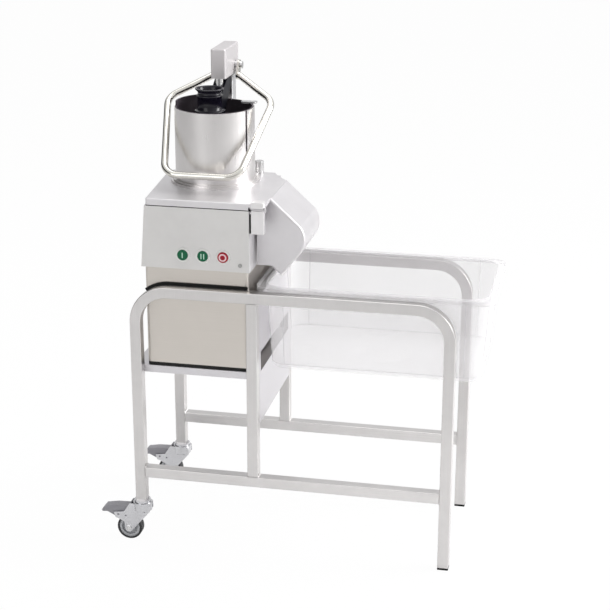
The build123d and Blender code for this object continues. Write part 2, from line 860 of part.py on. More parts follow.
# Motor: a finned body with a flange under the bowl floor
with BuildPart() as motor:
    with BuildSketch(Plane.XY.offset(motor_bottom)):
        with Locations((machine_x, bowl_y)):
            Circle(motor_radius)
        with Locations((machine_x, bowl_y)):
            with PolarLocations(motor_radius, motor_fins):
                Rectangle(10, 3)
    extrude(amount=motor_top - motor_bottom)
    with BuildSketch(Plane.XY.offset(motor_top)):
        with Locations((machine_x, bowl_y)):
            Circle(motor_flange_radius)
    extrude(amount=-motor_flange)
    with BuildSketch(Plane.XY.offset(motor_bottom + bearing_height)):
        with Locations((machine_x, bowl_y)):
            Circle(rotor_radius + rotor_gap)
    extrude(amount=motor_top - motor_bottom - 2 * bearing_height, mode=Mode.SUBTRACT)
    with BuildSketch(Plane.XY.offset(motor_bottom)):
        with Locations((machine_x, bowl_y)):
            Circle(bearing_radius)
    extrude(amount=motor_top - motor_bottom, mode=Mode.SUBTRACT)
motor.part.label = "motor_body"
export_step(motor.part, "parts/motor_body.step")

with BuildPart() as bearings:
    for low in (motor_bottom, motor_top - bearing_height):
        with BuildSketch(Plane.XY.offset(low)):
            with Locations((machine_x, bowl_y)):
                Circle(bearing_radius)
                Circle(shaft_radius + pin_fit, mode=Mode.SUBTRACT)
        extrude(amount=bearing_height)
bearings.part.label = "shaft_bearings"
export_step(bearings.part, "parts/shaft_bearings.step")

# Rotor shaft: (radius, lower end, upper end) of each step
shaft_steps = (
    (shaft_radius, shaft_bottom, motor_top),
    (
        rotor_radius,
        motor_bottom + bearing_height + rotor_end_gap,
        motor_top - bearing_height - rotor_end_gap,
    ),
    (shoulder_radius, motor_top + gap, shoulder_top),
    (shaft_radius, shoulder_top, disc_bottom),
    (thread_radius, disc_bottom, disc_bottom + disc_thickness + nut_height),
)
with BuildPart() as shaft:
    for radius, low, high in shaft_steps:
        with BuildSketch(Plane.XY.offset(low)):
            with Locations((machine_x, bowl_y)):
                Circle(radius)
        extrude(amount=high - low)
    with BuildSketch(Plane.XY.offset(motor_top)):
        with Locations((machine_x, bowl_y)):
            Circle(shaft_radius)
    extrude(amount=1)
shaft.part.label = "rotor_shaft"
export_step(shaft.part, "parts/rotor_shaft.step")

with BuildPart() as fan:
    with BuildSketch(Plane.XY.offset(shaft_bottom + 4)):
        with Locations((machine_x, bowl_y)):
            Circle(fan_radius)
    extrude(amount=2)
    with BuildSketch(Plane.XY.offset(shaft_bottom + 4)):
        with Locations((machine_x, bowl_y)):
            with PolarLocations(fan_radius * 0.6, fan_blades):
                Rectangle(fan_radius * 0.7, 2)
            Circle(shaft_radius + hub_wall)
    extrude(amount=fan_height)
    with BuildSketch(Plane.XY.offset(shaft_bottom + 4)):
        with Locations((machine_x, bowl_y)):
            Circle(shaft_radius)
    extrude(amount=fan_height, mode=Mode.SUBTRACT)
fan.part.label = "cooling_fan"
export_step(fan.part, "parts/cooling_fan.step")

# Ejector plate with its hub and two paddles, then the slicing disc, blade and nut
with BuildPart() as ejector:
    with BuildSketch(Plane.XY.offset(shoulder_top)):
        with Locations((machine_x, bowl_y)):
            Circle(plate_radius)
    extrude(amount=plate_thickness)
    with BuildSketch(Plane.XY.offset(shoulder_top)):
        with Locations((machine_x, bowl_y)):
            Circle(shaft_radius + hub_wall)
    extrude(amount=disc_bottom - shoulder_top)
    with BuildSketch(Plane.XY.offset(shoulder_top)):
        with Locations((machine_x, bowl_y)):
            with PolarLocations(plate_radius * 0.6, 2):
                Rectangle(plate_radius * 0.7, 5)
    extrude(amount=paddle_height)
    with BuildSketch(Plane.XY.offset(shoulder_top)):
        with Locations((machine_x, bowl_y)):
            Circle(shaft_radius)
    extrude(amount=disc_bottom - shoulder_top, mode=Mode.SUBTRACT)
ejector.part.label = "ejector_plate"
export_step(ejector.part, "parts/ejector_plate.step")

blade_x = machine_x + disc_radius - blade_rim - blade_length / 2
blade_y = bowl_y + blade_offset
with BuildPart() as disc:
    with BuildSketch(Plane.XY.offset(disc_bottom)):
        with Locations((machine_x, bowl_y)):
            Circle(disc_radius)
            Circle(thread_radius, mode=Mode.SUBTRACT)
        with Locations((blade_x, blade_y)):
            Rectangle(blade_length, blade_slot, mode=Mode.SUBTRACT)
    extrude(amount=disc_thickness)
disc.part.label = "slicing_disc"
export_step(disc.part, "parts/slicing_disc.step")

with BuildPart() as blade:
    with BuildSketch(Plane.XY.offset(disc_bottom + disc_thickness)):
        with Locations((blade_x, blade_y + blade_width / 2)):
            Rectangle(blade_length, blade_width)
    extrude(amount=blade_thickness)
blade.part.label = "disc_blade"
export_step(blade.part, "parts/disc_blade.step")

with BuildPart() as nut:
    with BuildSketch(Plane.XY.offset(disc_bottom + disc_thickness)):
        with Locations((machine_x, bowl_y)):
            RegularPolygon(nut_radius, 6)
            Circle(thread_radius, mode=Mode.SUBTRACT)
    extrude(amount=nut_height)
nut.part.label = "disc_nut"
export_step(nut.part, "parts/disc_nut.step")

# Hinge pin through the ears and the barrel of the head
with BuildPart() as hinge_pin:
    with BuildSketch(Plane.YZ.offset(machine_x)):
        with Locations((hinge_y, hinge_z)):
            Circle(hinge_pin_radius)
    extrude(amount=ear_inside + ear_width + hinge_pin_head, both=True)
    for head_left in (
        machine_x - ear_inside - ear_width - hinge_pin_head,
        machine_x + ear_inside + ear_width,
    ):
        with BuildSketch(Plane.YZ.offset(head_left)):
            with Locations((hinge_y, hinge_z)):
                Circle(hinge_pin_radius + 2)
        extrude(amount=hinge_pin_head)
hinge_pin.part.label = "head_hinge_pin"
export_step(hinge_pin.part, "parts/head_hinge_pin.step")

# Head casting: lid, hinge barrel and the hood of the outlet
lid_bottom = housing_top
lid_under = lid_top - lid_plate
latch_y = -housing_front + latch_setback
latch_z = lid_under - latch_drop
latch_bottom = latch_z - latch_length
knob_y = bowl_y + knob_behind_axis
knob_top = lid_top + knob_height
lid_outline = [
    (-lid_left_front, -lid_front),
    (lid_right, -lid_front),
    (lid_right, hood_rear - 2),
    (lid_right - lid_cut, lid_rear - lid_cut),
    (lid_right - 1.5 * lid_cut, lid_rear),
    (lobe_half_width, lid_rear),
    (lobe_half_width, hinge_y),
    (-lobe_half_width, hinge_y),
    (-lobe_half_width, lid_rear),
    (-lid_left_rear + lid_cut, lid_rear),
    (-lid_left_rear, lid_rear - lid_cut),
    (-lid_left_rear, lid_rear - lid_cut - lid_step),
]
hood_foot = hood_side + hood_start
shoulder = (hood_side + hood_shoulder, lid_top - hood_shoulder_drop)
nose = (hood_side + hood_nose, lid_top - hood_nose_drop)
chin = (hood_side + hood_chin, lid_top - hood_chin_drop)
lip = (hood_side + hood_lip, lid_top - hood_lip_drop)
heel_z = lid_top - hood_heel_drop
inner_shoulder = (shoulder[0] - hood_skin, shoulder[1] - hood_skin)
inner_nose = (nose[0] - hood_skin, nose[1])
inner_chin = (chin[0] - hood_skin, chin[1] + hood_skin / 2)
chin_slope = (chin[0] - lip[0]) / (chin[1] - lip[1])
cavity_left = machine_x + skirt_right - 2 * lid_wall
cavity_floor = lip[1] - 15
cavity_end = inner_chin[0] - chin_slope * (inner_chin[1] - cavity_floor)
with BuildPart() as head:
    with BuildSketch(Plane.XY.offset(lid_bottom)):
        with BuildLine():
            Polyline(*[(machine_x + x, y) for x, y in lid_outline], close=True)
        make_face()
    extrude(amount=lid_top - lid_bottom)
    upright = head.edges().filter_by(Axis.Z)
    fillet(upright.filter_by(lambda edge: edge.center().Y < hood_front), radius=lid_corner)
    fillet(head.faces().sort_by(Axis.Z)[-1].edges(), radius=lid_edge)
    # Hollow under the lid, leaving the ring round the hopper and the hinge lobe solid
    with BuildSketch(Plane.XY.offset(lid_bottom)):
        with BuildLine():
            Polyline(
                (machine_x - lid_left_front + lid_wall, -lid_front + lid_wall),
                (machine_x + skirt_right - lid_wall, -lid_front + lid_wall),
                (machine_x + skirt_right - lid_wall, lid_rear - lid_wall),
                (machine_x - lid_left_rear + lid_cut + lid_wall, lid_rear - lid_wall),
                (machine_x - lid_left_rear + 2 * lid_wall, lid_rear - lid_cut - lid_wall),
                (machine_x - lid_left_rear + 2 * lid_wall, lid_rear - lid_cut - lid_step),
                close=True,
            )
        make_face()
        with Locations((machine_x, bowl_y)):
            Circle(flange_radius + 3, mode=Mode.SUBTRACT)
        with Locations((machine_x + skirt_right + 20, 0)):
            Rectangle(40, 2 * hinge_y)
    extrude(amount=lid_under - lid_bottom, mode=Mode.SUBTRACT)
    # Hood, rounded along both sides
    with BuildSketch(Plane.XZ.offset(-hood_front)):
        with BuildLine():
            Polyline(
                (hood_foot, lid_top - lid_plate / 2), (hood_side + hood_crest, lid_top), shoulder
            )
            ThreePointArc(shoulder, nose, chin)
            Polyline(
                chin,
                lip,
                (hood_side + hood_crest - hood_wall, heel_z),
                (hood_foot, heel_z),
                (hood_foot, lid_top - lid_plate / 2),
            )
        make_face()
    extrude(amount=-(hood_rear - hood_front))
    sides = head.edges().filter_by(
        lambda edge: edge.center().X > hood_side + hood_crest + hood_round
        and min(abs(edge.center().Y - hood_front), abs(edge.center().Y - hood_rear)) < 0.01
    )
    fillet(sides, radius=hood_round)
    with BuildSketch(Plane.XZ.offset(-hood_front - hood_wall)):
        with BuildLine():
            Polyline(
                (cavity_left, cavity_floor),
                (cavity_left, lid_under),
                (machine_x + lid_right, lid_under),
                inner_shoulder,
            )
            ThreePointArc(inner_shoulder, inner_nose, inner_chin)
            Polyline(inner_chin, (cavity_end, cavity_floor), (cavity_left, cavity_floor))
        make_face()
    extrude(amount=-(hood_rear - hood_front - 2 * hood_wall), mode=Mode.SUBTRACT)
    # Hopper opening, hinge barrel, latch lugs and the stud of the clamp knob
    with BuildSketch(Plane.XY.offset(lid_bottom)):
        with Locations((machine_x, bowl_y)):
            Circle(hopper_radius - hopper_wall)
    extrude(amount=lid_top - lid_bottom, mode=Mode.SUBTRACT)
    with BuildSketch(Plane.YZ.offset(machine_x)):
        with Locations((hinge_y, hinge_z)):
            Circle(hinge_barrel_radius)
    extrude(amount=lobe_half_width, both=True)
    with BuildSketch(Plane.YZ.offset(machine_x)):
        with Locations((hinge_y, hinge_z)):
            Circle(hinge_pin_radius + pin_fit)
    extrude(amount=lobe_half_width, both=True, mode=Mode.SUBTRACT)
    for lug_left in (hood_foot - gap - latch_lug, hood_foot + latch_width + gap):
        with BuildSketch(Plane.YZ.offset(lug_left)):
            with Locations((latch_y, latch_z)):
                Circle(latch_pin_radius + latch_eye)
            with Locations((latch_y, (latch_z + lid_under) / 2)):
                Rectangle(2 * (latch_pin_radius + latch_eye), lid_under - latch_z)
            with Locations((latch_y, latch_z)):
                Circle(latch_pin_radius, mode=Mode.SUBTRACT)
        extrude(amount=latch_lug)
    with BuildSketch(Plane.XY.offset(lid_under)):
        with Locations((machine_x + knob_x, knob_y)):
            Circle(stud_radius)
    extrude(amount=lid_plate + stud_height)
head.part.label = "head_casting"
export_step(head.part, "parts/head_casting.step")

# Latch on the right of the panel, and the catch it closes against
with BuildPart() as catch:
    with BuildSketch(Plane.XY.offset(latch_bottom + catch_rise)):
        with Locations(
            (hood_side + catch_width / 2, latch_y + latch_thickness / 2 + gap + catch_thickness / 2)
        ):
            Rectangle(catch_width, catch_thickness)
    extrude(amount=catch_height)
catch.part.label = "latch_catch"
export_step(catch.part, "parts/latch_catch.step")

with BuildPart() as latch:
    with BuildSketch(Plane.YZ.offset(hood_foot)):
        with Locations((latch_y, (latch_bottom + latch_z) / 2)):
            Rectangle(latch_thickness, latch_z - latch_bottom)
        with Locations((latch_y, latch_z)):
            Circle(latch_pin_radius + latch_eye)
    extrude(amount=latch_width)
    with BuildSketch(Plane.YZ.offset(hood_foot)):
        with Locations((latch_y, latch_z)):
            Circle(latch_pin_radius + pin_fit)
    extrude(amount=latch_width, mode=Mode.SUBTRACT)
    fillet(latch.faces().sort_by(Axis.Z)[0].edges(), radius=2)
latch.part.label = "latch_bar"
export_step(latch.part, "parts/latch_bar.step")

with BuildPart() as latch_pin:
    with BuildSketch(Plane.YZ.offset(hood_foot - gap - latch_lug)):
        with Locations((latch_y, latch_z)):
            Circle(latch_pin_radius)
    extrude(amount=latch_width + 2 * gap + 2 * latch_lug)
latch_pin.part.label = "latch_pin"
export_step(latch_pin.part, "parts/latch_pin.step")

# Ribbed clamp knob on its stud
with BuildPart() as knob:
    with BuildSketch(Plane.XY.offset(lid_top + gap)):
        with Locations((machine_x + knob_x, knob_y)):
            Circle(knob_radius)
            with PolarLocations(knob_radius, knob_ribs):
                Circle(knob_groove, mode=Mode.SUBTRACT)
    extrude(amount=knob_top - lid_top - gap)
    with BuildSketch(Plane.XY.offset(lid_top + gap)):
        with Locations((machine_x + knob_x, knob_y)):
            Circle(stud_radius + pin_fit)
    extrude(amount=stud_height + 1, mode=Mode.SUBTRACT)
knob.part.label = "clamp_knob"
export_step(knob.part, "parts/clamp_knob.step")

# Hopper cylinder with its foot flange and the slot down its side
with BuildPart() as hopper:
    for radius, low, high in (
        (flange_radius, lid_top, lid_top + flange_height),
        (bead_radius, lid_top + flange_height, lid_top + flange_height + bead_height),
        (hopper_radius, lid_top, hopper_top),
    ):
        with BuildSketch(Plane.XY.offset(low)):
            with Locations((machine_x, bowl_y)):
                Circle(radius)
        extrude(amount=high - low)
    with BuildSketch(Plane.XY.offset(lid_top)):
        with Locations((machine_x, bowl_y)):
            Circle(hopper_radius - hopper_wall)
    extrude(amount=hopper_top - lid_top, mode=Mode.SUBTRACT)
    with BuildSketch(Plane.XY.offset(lid_top + slot_start)):
        with Locations((machine_x, bowl_y)):
            with PolarLocations(hopper_radius, 1, start_angle=slot_angle):
                Rectangle(6 * hopper_wall, slot_width)
    extrude(amount=hopper_top - lid_top - slot_start, mode=Mode.SUBTRACT)
hopper.part.label = "hopper"
export_step(hopper.part, "parts/hopper.step")

# Square column tube, and the rod that slides in it
with BuildPart() as column:
    with BuildSketch(Plane.XY.offset(lid_top)):
        with Locations((machine_x, column_y)):
            RectangleRounded(column_width, column_depth, 3)
            Rectangle(
                column_width - 2 * column_wall, column_depth - 2 * column_wall, mode=Mode.SUBTRACT
            )
    extrude(amount=column_top - lid_top)
column.part.label = "column_tube"
export_step(column.part, "parts/column_tube.step")

rod_bottom = lid_top + rod_rise
with BuildPart() as rod:
    with BuildSketch(Plane.XY.offset(rod_bottom)):
        with Locations((machine_x, column_y)):
            Rectangle(
                column_width - 2 * column_wall - 2 * gap, column_depth - 2 * column_wall - 2 * gap
            )
    extrude(amount=block_top - block_wall - rod_bottom)
    with BuildSketch(Plane.YZ.offset(machine_x)):
        with Locations((pivot_y, pivot_z)):
            Circle(pivot_radius)
    extrude(amount=column_width, both=True, mode=Mode.SUBTRACT)
rod.part.label = "column_rod"
export_step(rod.part, "parts/column_rod.step")

# Lever block: a rounded cover open below, over the rod and the pusher rod
block_length = block_rear - block_front
with BuildPart() as block:
    with BuildSketch(Plane.XY.offset(block_bottom)):
        with Locations((machine_x, (block_front + block_rear) / 2)):
            RectangleRounded(block_width, block_length, block_corner)
    extrude(amount=block_top - block_bottom)
    fillet(block.faces().sort_by(Axis.Z)[-1].edges(), radius=3)
    with BuildSketch(Plane.XY.offset(block_bottom)):
        with Locations((machine_x, (block_front + block_rear) / 2)):
            RectangleRounded(
                block_width - 2 * block_wall, block_length - 2 * block_wall, block_corner - block_wall
            )
    extrude(amount=block_top - block_wall - block_bottom, mode=Mode.SUBTRACT)
    with BuildSketch(Plane.YZ.offset(machine_x)):
        with Locations((pivot_y, pivot_z)):
            Circle(pivot_radius)
    extrude(amount=block_width, both=True, mode=Mode.SUBTRACT)
block.part.label = "lever_block"
export_step(block.part, "parts/lever_block.step")

# Pivot bolt with a spacer on each side of the block and a head at each end
bolt_shoulder = bracket_inside + bracket_thickness + gap
pivot_steps = (
    (pivot_radius, 0, bolt_shoulder),
    (pivot_spacer, block_width / 2, bracket_inside - gap),
    (pivot_head, bolt_shoulder, bolt_shoulder + pivot_head_length),
)
with BuildPart() as bolt:
    for radius, near, far in pivot_steps:
        with BuildSketch(Plane.YZ.offset(machine_x + near)):
            with Locations((pivot_y, pivot_z)):
                Circle(radius)
        extrude(amount=far - near)
    mirror(about=Plane.YZ.offset(machine_x))
bolt.part.label = "pivot_bolt"
export_step(bolt.part, "parts/pivot_bolt.step")

with BuildPart() as pusher_rod:
    with BuildSketch(Plane.XY.offset(drum_bottom + drum_floor)):
        with Locations((machine_x, pusher_rod_y)):
            Circle(pusher_rod_radius)
    extrude(amount=block_top - block_wall - drum_bottom - drum_floor)
pusher_rod.part.label = "pusher_rod"
export_step(pusher_rod.part, "parts/pusher_rod.step")

# Arm under the block, from the rod forward to the flange of the feed tube
foot_front = feed_y + feed_flange + 2
arm_rear = column_y - column_depth / 2 - 2
with BuildPart() as arm:
    with BuildSketch(Plane.YZ.offset(machine_x - arm_width / 2)):
        with BuildLine():
            Polyline(
                (feed_y + feed_radius + gap, feed_collar_top),
                (foot_front, feed_collar_top),
                (foot_front, feed_collar_top - arm_foot),
                (pusher_rod_y - 15, feed_collar_top - arm_foot),
                (arm_rear, block_bottom - 18),
                (arm_rear, block_bottom),
                (pusher_rod_y + 21, block_bottom),
                (feed_y + feed_radius + gap, feed_collar_top + 10),
                close=True,
            )
        make_face()
    extrude(amount=arm_width)
    with BuildSketch(Plane.XY.offset(drum_bottom)):
        with Locations((machine_x, pusher_rod_y)):
            Circle(pusher_rod_radius)
    extrude(amount=block_top - drum_bottom, mode=Mode.SUBTRACT)
arm.part.label = "pusher_arm"
export_step(arm.part, "parts/pusher_arm.step")

# Pusher drum: an open tub that runs in the hopper, with a raised crest at the back left
drum_radius = hopper_radius - hopper_wall - drum_running_gap
drum_top = hopper_top + gap
crest_middle = (crest_start + crest_end) / 2
crest_reach = [
    (
        machine_x + 2 * drum_radius * math.cos(math.radians(angle)),
        bowl_y + 2 * drum_radius * math.sin(math.radians(angle)),
    )
    for angle in (crest_start, crest_middle, crest_end)
]
with BuildPart() as drum:
    with BuildSketch(Plane.XY.offset(drum_bottom)):
        with Locations((machine_x, bowl_y)):
            Circle(drum_radius)
    extrude(amount=drum_top + drum_crest - drum_bottom)
    with BuildSketch(Plane.XY.offset(drum_bottom + drum_floor)):
        with Locations((machine_x, bowl_y)):
            Circle(drum_radius - drum_wall)
    extrude(amount=drum_top + drum_crest - drum_bottom - drum_floor, mode=Mode.SUBTRACT)
    with BuildSketch(Plane.XY.offset(drum_top)):
        with Locations((machine_x, bowl_y)):
            Circle(drum_radius + 1)
        with BuildLine():
            Polyline((machine_x, bowl_y), *crest_reach, close=True)
        make_face(mode=Mode.SUBTRACT)
    extrude(amount=drum_crest, mode=Mode.SUBTRACT)
    with BuildSketch(Plane.XY.offset(drum_bottom)):
        with Locations((machine_x, feed_y)):
            Circle(feed_radius)
    extrude(amount=drum_floor, mode=Mode.SUBTRACT)
drum.part.label = "pusher_drum"
export_step(drum.part, "parts/pusher_drum.step")

# Small feed tube: (outer radius, lower end, upper end) of each step, then the flared mouth
mouth_bottom = feed_top - mouth_height
waist_bottom = mouth_bottom - feed_waist_height
feed_steps = (
    (feed_radius, drum_bottom, waist_bottom),
    (feed_flange, drum_bottom + drum_floor, drum_bottom + drum_floor + feed_flange_height),
    (feed_flange, feed_collar_top - feed_flange_height, feed_collar_top),
    (feed_ring, waist_bottom - feed_ring_height, waist_bottom),
    (feed_waist, waist_bottom, mouth_bottom),
)
with BuildPart() as feed:
    for radius, low, high in feed_steps:
        with BuildSketch(Plane.XY.offset(low)):
            with Locations((machine_x, feed_y)):
                Circle(radius)
        extrude(amount=high - low)
    with BuildSketch(Plane.XY.offset(mouth_bottom)):
        with Locations((machine_x, feed_y)):
            Circle(feed_waist)
    with BuildSketch(Plane.XY.offset(feed_top)):
        with Locations((machine_x, feed_y)):
            Circle(mouth_radius)
    loft()
    with BuildSketch(Plane.XY.offset(drum_bottom)):
        with Locations((machine_x, feed_y)):
            Circle(feed_bore)
    extrude(amount=mouth_bottom - drum_bottom, mode=Mode.SUBTRACT)
    with BuildSketch(Plane.XY.offset(mouth_bottom)):
        with Locations((machine_x, feed_y)):
            Circle(feed_bore)
    with BuildSketch(Plane.XY.offset(feed_top)):
        with Locations((machine_x, feed_y)):
            Circle(mouth_radius - mouth_wall)
    loft(mode=Mode.SUBTRACT)
feed.part.label = "feed_tube"
export_step(feed.part, "parts/feed_tube.step")

# Lug on the drum that reaches over the hopper rim
with BuildPart() as lug:
    with BuildSketch(Plane.XY.offset(drum_top)):
        with Locations((machine_x + lug_right, bowl_y + lug_behind_axis)):
            RectangleRounded(lug_length, lug_width, lug_height)
    extrude(amount=lug_height)
lug.part.label = "rim_lug"
export_step(lug.part, "parts/rim_lug.step")

# Loop handle: one bent bar from bracket to bracket, hung on the pivot bolt
root_x = bracket_inside + bracket_thickness / 2
root_y = pivot_y - root_forward
root_z = pivot_z - root_drop
handle_path = [
    (root_x, root_y, root_z),
    (hopper_radius + shoulder_outside, pivot_y - shoulder_forward, pivot_z - shoulder_drop),
    (grip_half_width, bowl_y - hopper_radius - grip_before_hopper, lid_top + grip_rise),
]
handle_path = handle_path + [(-x, y, z) for x, y, z in reversed(handle_path)]
with BuildPart() as handle:
    with BuildLine() as loop:
        FilletPolyline(*[(machine_x + x, y, z) for x, y, z in handle_path], radius=handle_bend)
    with BuildSketch(Plane(origin=loop.line @ 0, z_dir=loop.line % 0)):
        Circle(handle_radius)
    sweep()
    for bracket_left in (bracket_inside, -bracket_inside - bracket_thickness):
        with BuildSketch(Plane.YZ.offset(machine_x + bracket_left)):
            with Locations((pivot_y, pivot_z), (root_y, root_z)):
                Circle(bracket_radius)
            make_hull()
        extrude(amount=bracket_thickness)
    with BuildSketch(Plane.YZ.offset(machine_x)):
        with Locations((pivot_y, pivot_z)):
            Circle(pivot_radius + pin_fit)
    extrude(amount=bracket_inside + 2 * bracket_radius, both=True, mode=Mode.SUBTRACT)
    with BuildSketch(Plane.YZ.offset(machine_x)):
        with Locations((root_y, root_z)):
            Rectangle(5 * bracket_radius, 5 * bracket_radius)
    extrude(amount=bracket_inside, both=True, mode=Mode.SUBTRACT)
handle.part.label = "loop_handle"
export_step(handle.part, "parts/loop_handle.step")
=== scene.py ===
import json
import math

import bmesh
import bpy
from mathutils import Matrix, Vector


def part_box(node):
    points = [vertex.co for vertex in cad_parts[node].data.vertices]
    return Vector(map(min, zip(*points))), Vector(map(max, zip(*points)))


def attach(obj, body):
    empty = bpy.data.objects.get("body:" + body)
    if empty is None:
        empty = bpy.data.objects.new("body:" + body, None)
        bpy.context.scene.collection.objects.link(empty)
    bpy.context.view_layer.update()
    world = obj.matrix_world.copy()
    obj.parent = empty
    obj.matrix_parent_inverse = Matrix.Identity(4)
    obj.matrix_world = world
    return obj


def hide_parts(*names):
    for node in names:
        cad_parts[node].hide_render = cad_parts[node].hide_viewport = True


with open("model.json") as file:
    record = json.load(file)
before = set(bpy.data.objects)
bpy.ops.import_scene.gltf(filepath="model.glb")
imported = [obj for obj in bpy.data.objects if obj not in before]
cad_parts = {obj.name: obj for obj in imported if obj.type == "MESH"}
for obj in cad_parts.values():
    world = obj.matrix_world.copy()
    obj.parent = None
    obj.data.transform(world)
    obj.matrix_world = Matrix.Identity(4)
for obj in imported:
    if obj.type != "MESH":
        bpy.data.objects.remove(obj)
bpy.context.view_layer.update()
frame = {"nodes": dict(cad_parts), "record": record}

# Lengths are in metres, colours are linear

# Camera, at the place that the trolley's edges give for the photograph
IMAGE_SIZE = 610
CAMERA_AZIMUTH = math.radians(11.844)
CAMERA_ELEVATION = math.radians(18.904)
CAMERA_ROLL = math.radians(0.087)
CAMERA_FOCAL_PIXELS = 1577.594
CAMERA_DISTANCE = 3.647831
CAMERA_TARGET = Vector((0.00148, 0.0, 0.552179))
CAMERA_CLIP_END = 200.0
SENSOR_WIDTH = 36.0

# Studio. The mirror colours are what glossy rays meet in the room
FLOOR_SIZE = 60.0
FLOOR_COLOUR = (0.92, 0.92, 0.92, 1)
FLOOR_GLOW_SHARE = 0.965
WORLD_STRENGTH = 0.62
FRONT_SHADE = (0.40, 0.395, 0.39, 1)
MIRROR_FRONT = (0.60, 0.595, 0.59, 1)
MIRROR_BACK = (0.72, 0.72, 0.725, 1)
MIRROR_LEFT = (0.05, 0.05, 0.048, 1)
MIRROR_ABOVE = (0.95, 0.95, 0.95, 1)
BACK_WHITE = (1.0, 1.0, 1.0, 1)

# Where each part of the room fades in, from none to full, along one axis of the direction
FADE_BACK = (-0.75, 0.15)
FADE_OVERHEAD = (0.25, 0.8)
FADE_LEFT = (-0.35, -0.85)
FADE_RIGHT = (0.45, 0.9)

# Lamps: place, target, size and power
LAMPS = {
    "key": ((3.4, 0.7, 1.9), (0, 0, 0.75), 1.8, 120),
    "fill": ((-1.6, -3.0, 1.8), (0, 0, 0.7), 2.0, 20),
    "top": ((0.4, 0.6, 3.6), (0, 0, 0.8), 2.4, 44),
}

# Surface grain
NOISE_ROUGHNESS = 0.6
NOISE_MIDDLE = (0.25, 0.75)
RAMP_ENDS = (0.3, 0.7)
METAL_BUMP_DISTANCE = 0.0002
PLASTIC_BUMP_DISTANCE = 0.0001
BRUSH_BLOTCH_SCALE = 14.0
CAST_BLOTCH_SCALE = 9.0
CAST_TINT = (0.95, 1.04)
PLASTIC_BLOTCH_SCALE = 25.0
FLOW_SCALE = (6.0, 6.0, 1.5)
FLOW_TINT = (0.97, 1.02)
FLOW_ROUGHNESS = (0.22, 0.34)

# Brush lines lie along one axis: the noise is coarse along it and fine across it
BRUSH_ALONG = 3.0
BRUSH_ACROSS = 900.0
BRUSH_SCALES = {
    "x": (BRUSH_ALONG, BRUSH_ACROSS, BRUSH_ACROSS),
    "z": (BRUSH_ACROSS, BRUSH_ACROSS, BRUSH_ALONG),
}


def clear_nodes(tree):
    """Empties a node tree and returns its nodes and links."""
    tree.nodes.clear()
    return tree.nodes, tree.links


def new_material(name):
    """A material with one Principled shader on its output."""
    made = bpy.data.materials.new(name)
    made.use_nodes = True
    nodes, links = clear_nodes(made.node_tree)
    output = nodes.new("ShaderNodeOutputMaterial")
    shader = nodes.new("ShaderNodeBsdfPrincipled")
    links.new(shader.outputs["BSDF"], output.inputs["Surface"])
    return made, nodes, links, shader


def stretched_noise(nodes, links, scale, detail=4.0):
    """Noise in the object's own metres, stretched by a scale for each axis."""
    place = nodes.new("ShaderNodeTexCoord")
    mapping = nodes.new("ShaderNodeMapping")
    mapping.inputs["Scale"].default_value = scale
    noise = nodes.new("ShaderNodeTexNoise")
    noise.inputs["Scale"].default_value = 1.0
    noise.inputs["Detail"].default_value = detail
    noise.inputs["Roughness"].default_value = NOISE_ROUGHNESS
    links.new(place.outputs["Object"], mapping.inputs["Vector"])
    links.new(mapping.outputs["Vector"], noise.inputs["Vector"])
    return noise.outputs["Fac"]


def spread(nodes, links, value, low, high):
    """Maps the middle of a noise onto low to high."""
    span = nodes.new("ShaderNodeMapRange")
    span.inputs["From Min"].default_value = NOISE_MIDDLE[0]
    span.inputs["From Max"].default_value = NOISE_MIDDLE[1]
    span.inputs["To Min"].default_value = low
    span.inputs["To Max"].default_value = high
    links.new(value, span.inputs["Value"])
    return span.outputs["Result"]


def shade_colour(nodes, links, value, colour, darker, lighter):
    """A colour that a noise varies from darker to lighter."""
    ramp = nodes.new("ShaderNodeValToRGB")
    for stop, position, factor in zip(
        ramp.color_ramp.elements, RAMP_ENDS, (darker, lighter), strict=True
    ):
        stop.position = position
        stop.color = [min(1, c * factor) for c in colour] + [1]
    links.new(value, ramp.inputs["Fac"])
    return ramp.outputs["Color"]


def add_bump(nodes, links, shader, height, strength, distance):
    """A bump from a height value on the shader's normal."""
    bump = nodes.new("ShaderNodeBump")
    bump.inputs["Strength"].default_value = strength
    bump.inputs["Distance"].default_value = distance
    links.new(height, bump.inputs["Height"])
    links.new(bump.outputs["Normal"], shader.inputs["Normal"])


def brushed_metal(name, colour, roughness, along, streak=0.08, bump=0.06):
    """Metal with fine brush lines along one axis and faint blotches."""
    made, nodes, links, shader = new_material(name)
    lines = stretched_noise(nodes, links, BRUSH_SCALES[along], detail=3.0)
    blotch = stretched_noise(nodes, links, (BRUSH_BLOTCH_SCALE,) * 3)
    total = nodes.new("ShaderNodeMath")
    total.operation = "ADD"
    links.new(lines, total.inputs[0])
    links.new(blotch, total.inputs[1])
    half = nodes.new("ShaderNodeMath")
    half.operation = "MULTIPLY"
    half.inputs[1].default_value = 0.5
    links.new(total.outputs[0], half.inputs[0])
    tint = shade_colour(nodes, links, half.outputs[0], colour, 1 - streak, 1 + streak)
    links.new(tint, shader.inputs["Base Color"])
    rough = spread(nodes, links, half.outputs[0], roughness * 0.8, roughness * 1.25)
    links.new(rough, shader.inputs["Roughness"])
    shader.inputs["Metallic"].default_value = 1.0
    add_bump(nodes, links, shader, lines, bump, METAL_BUMP_DISTANCE)
    return made


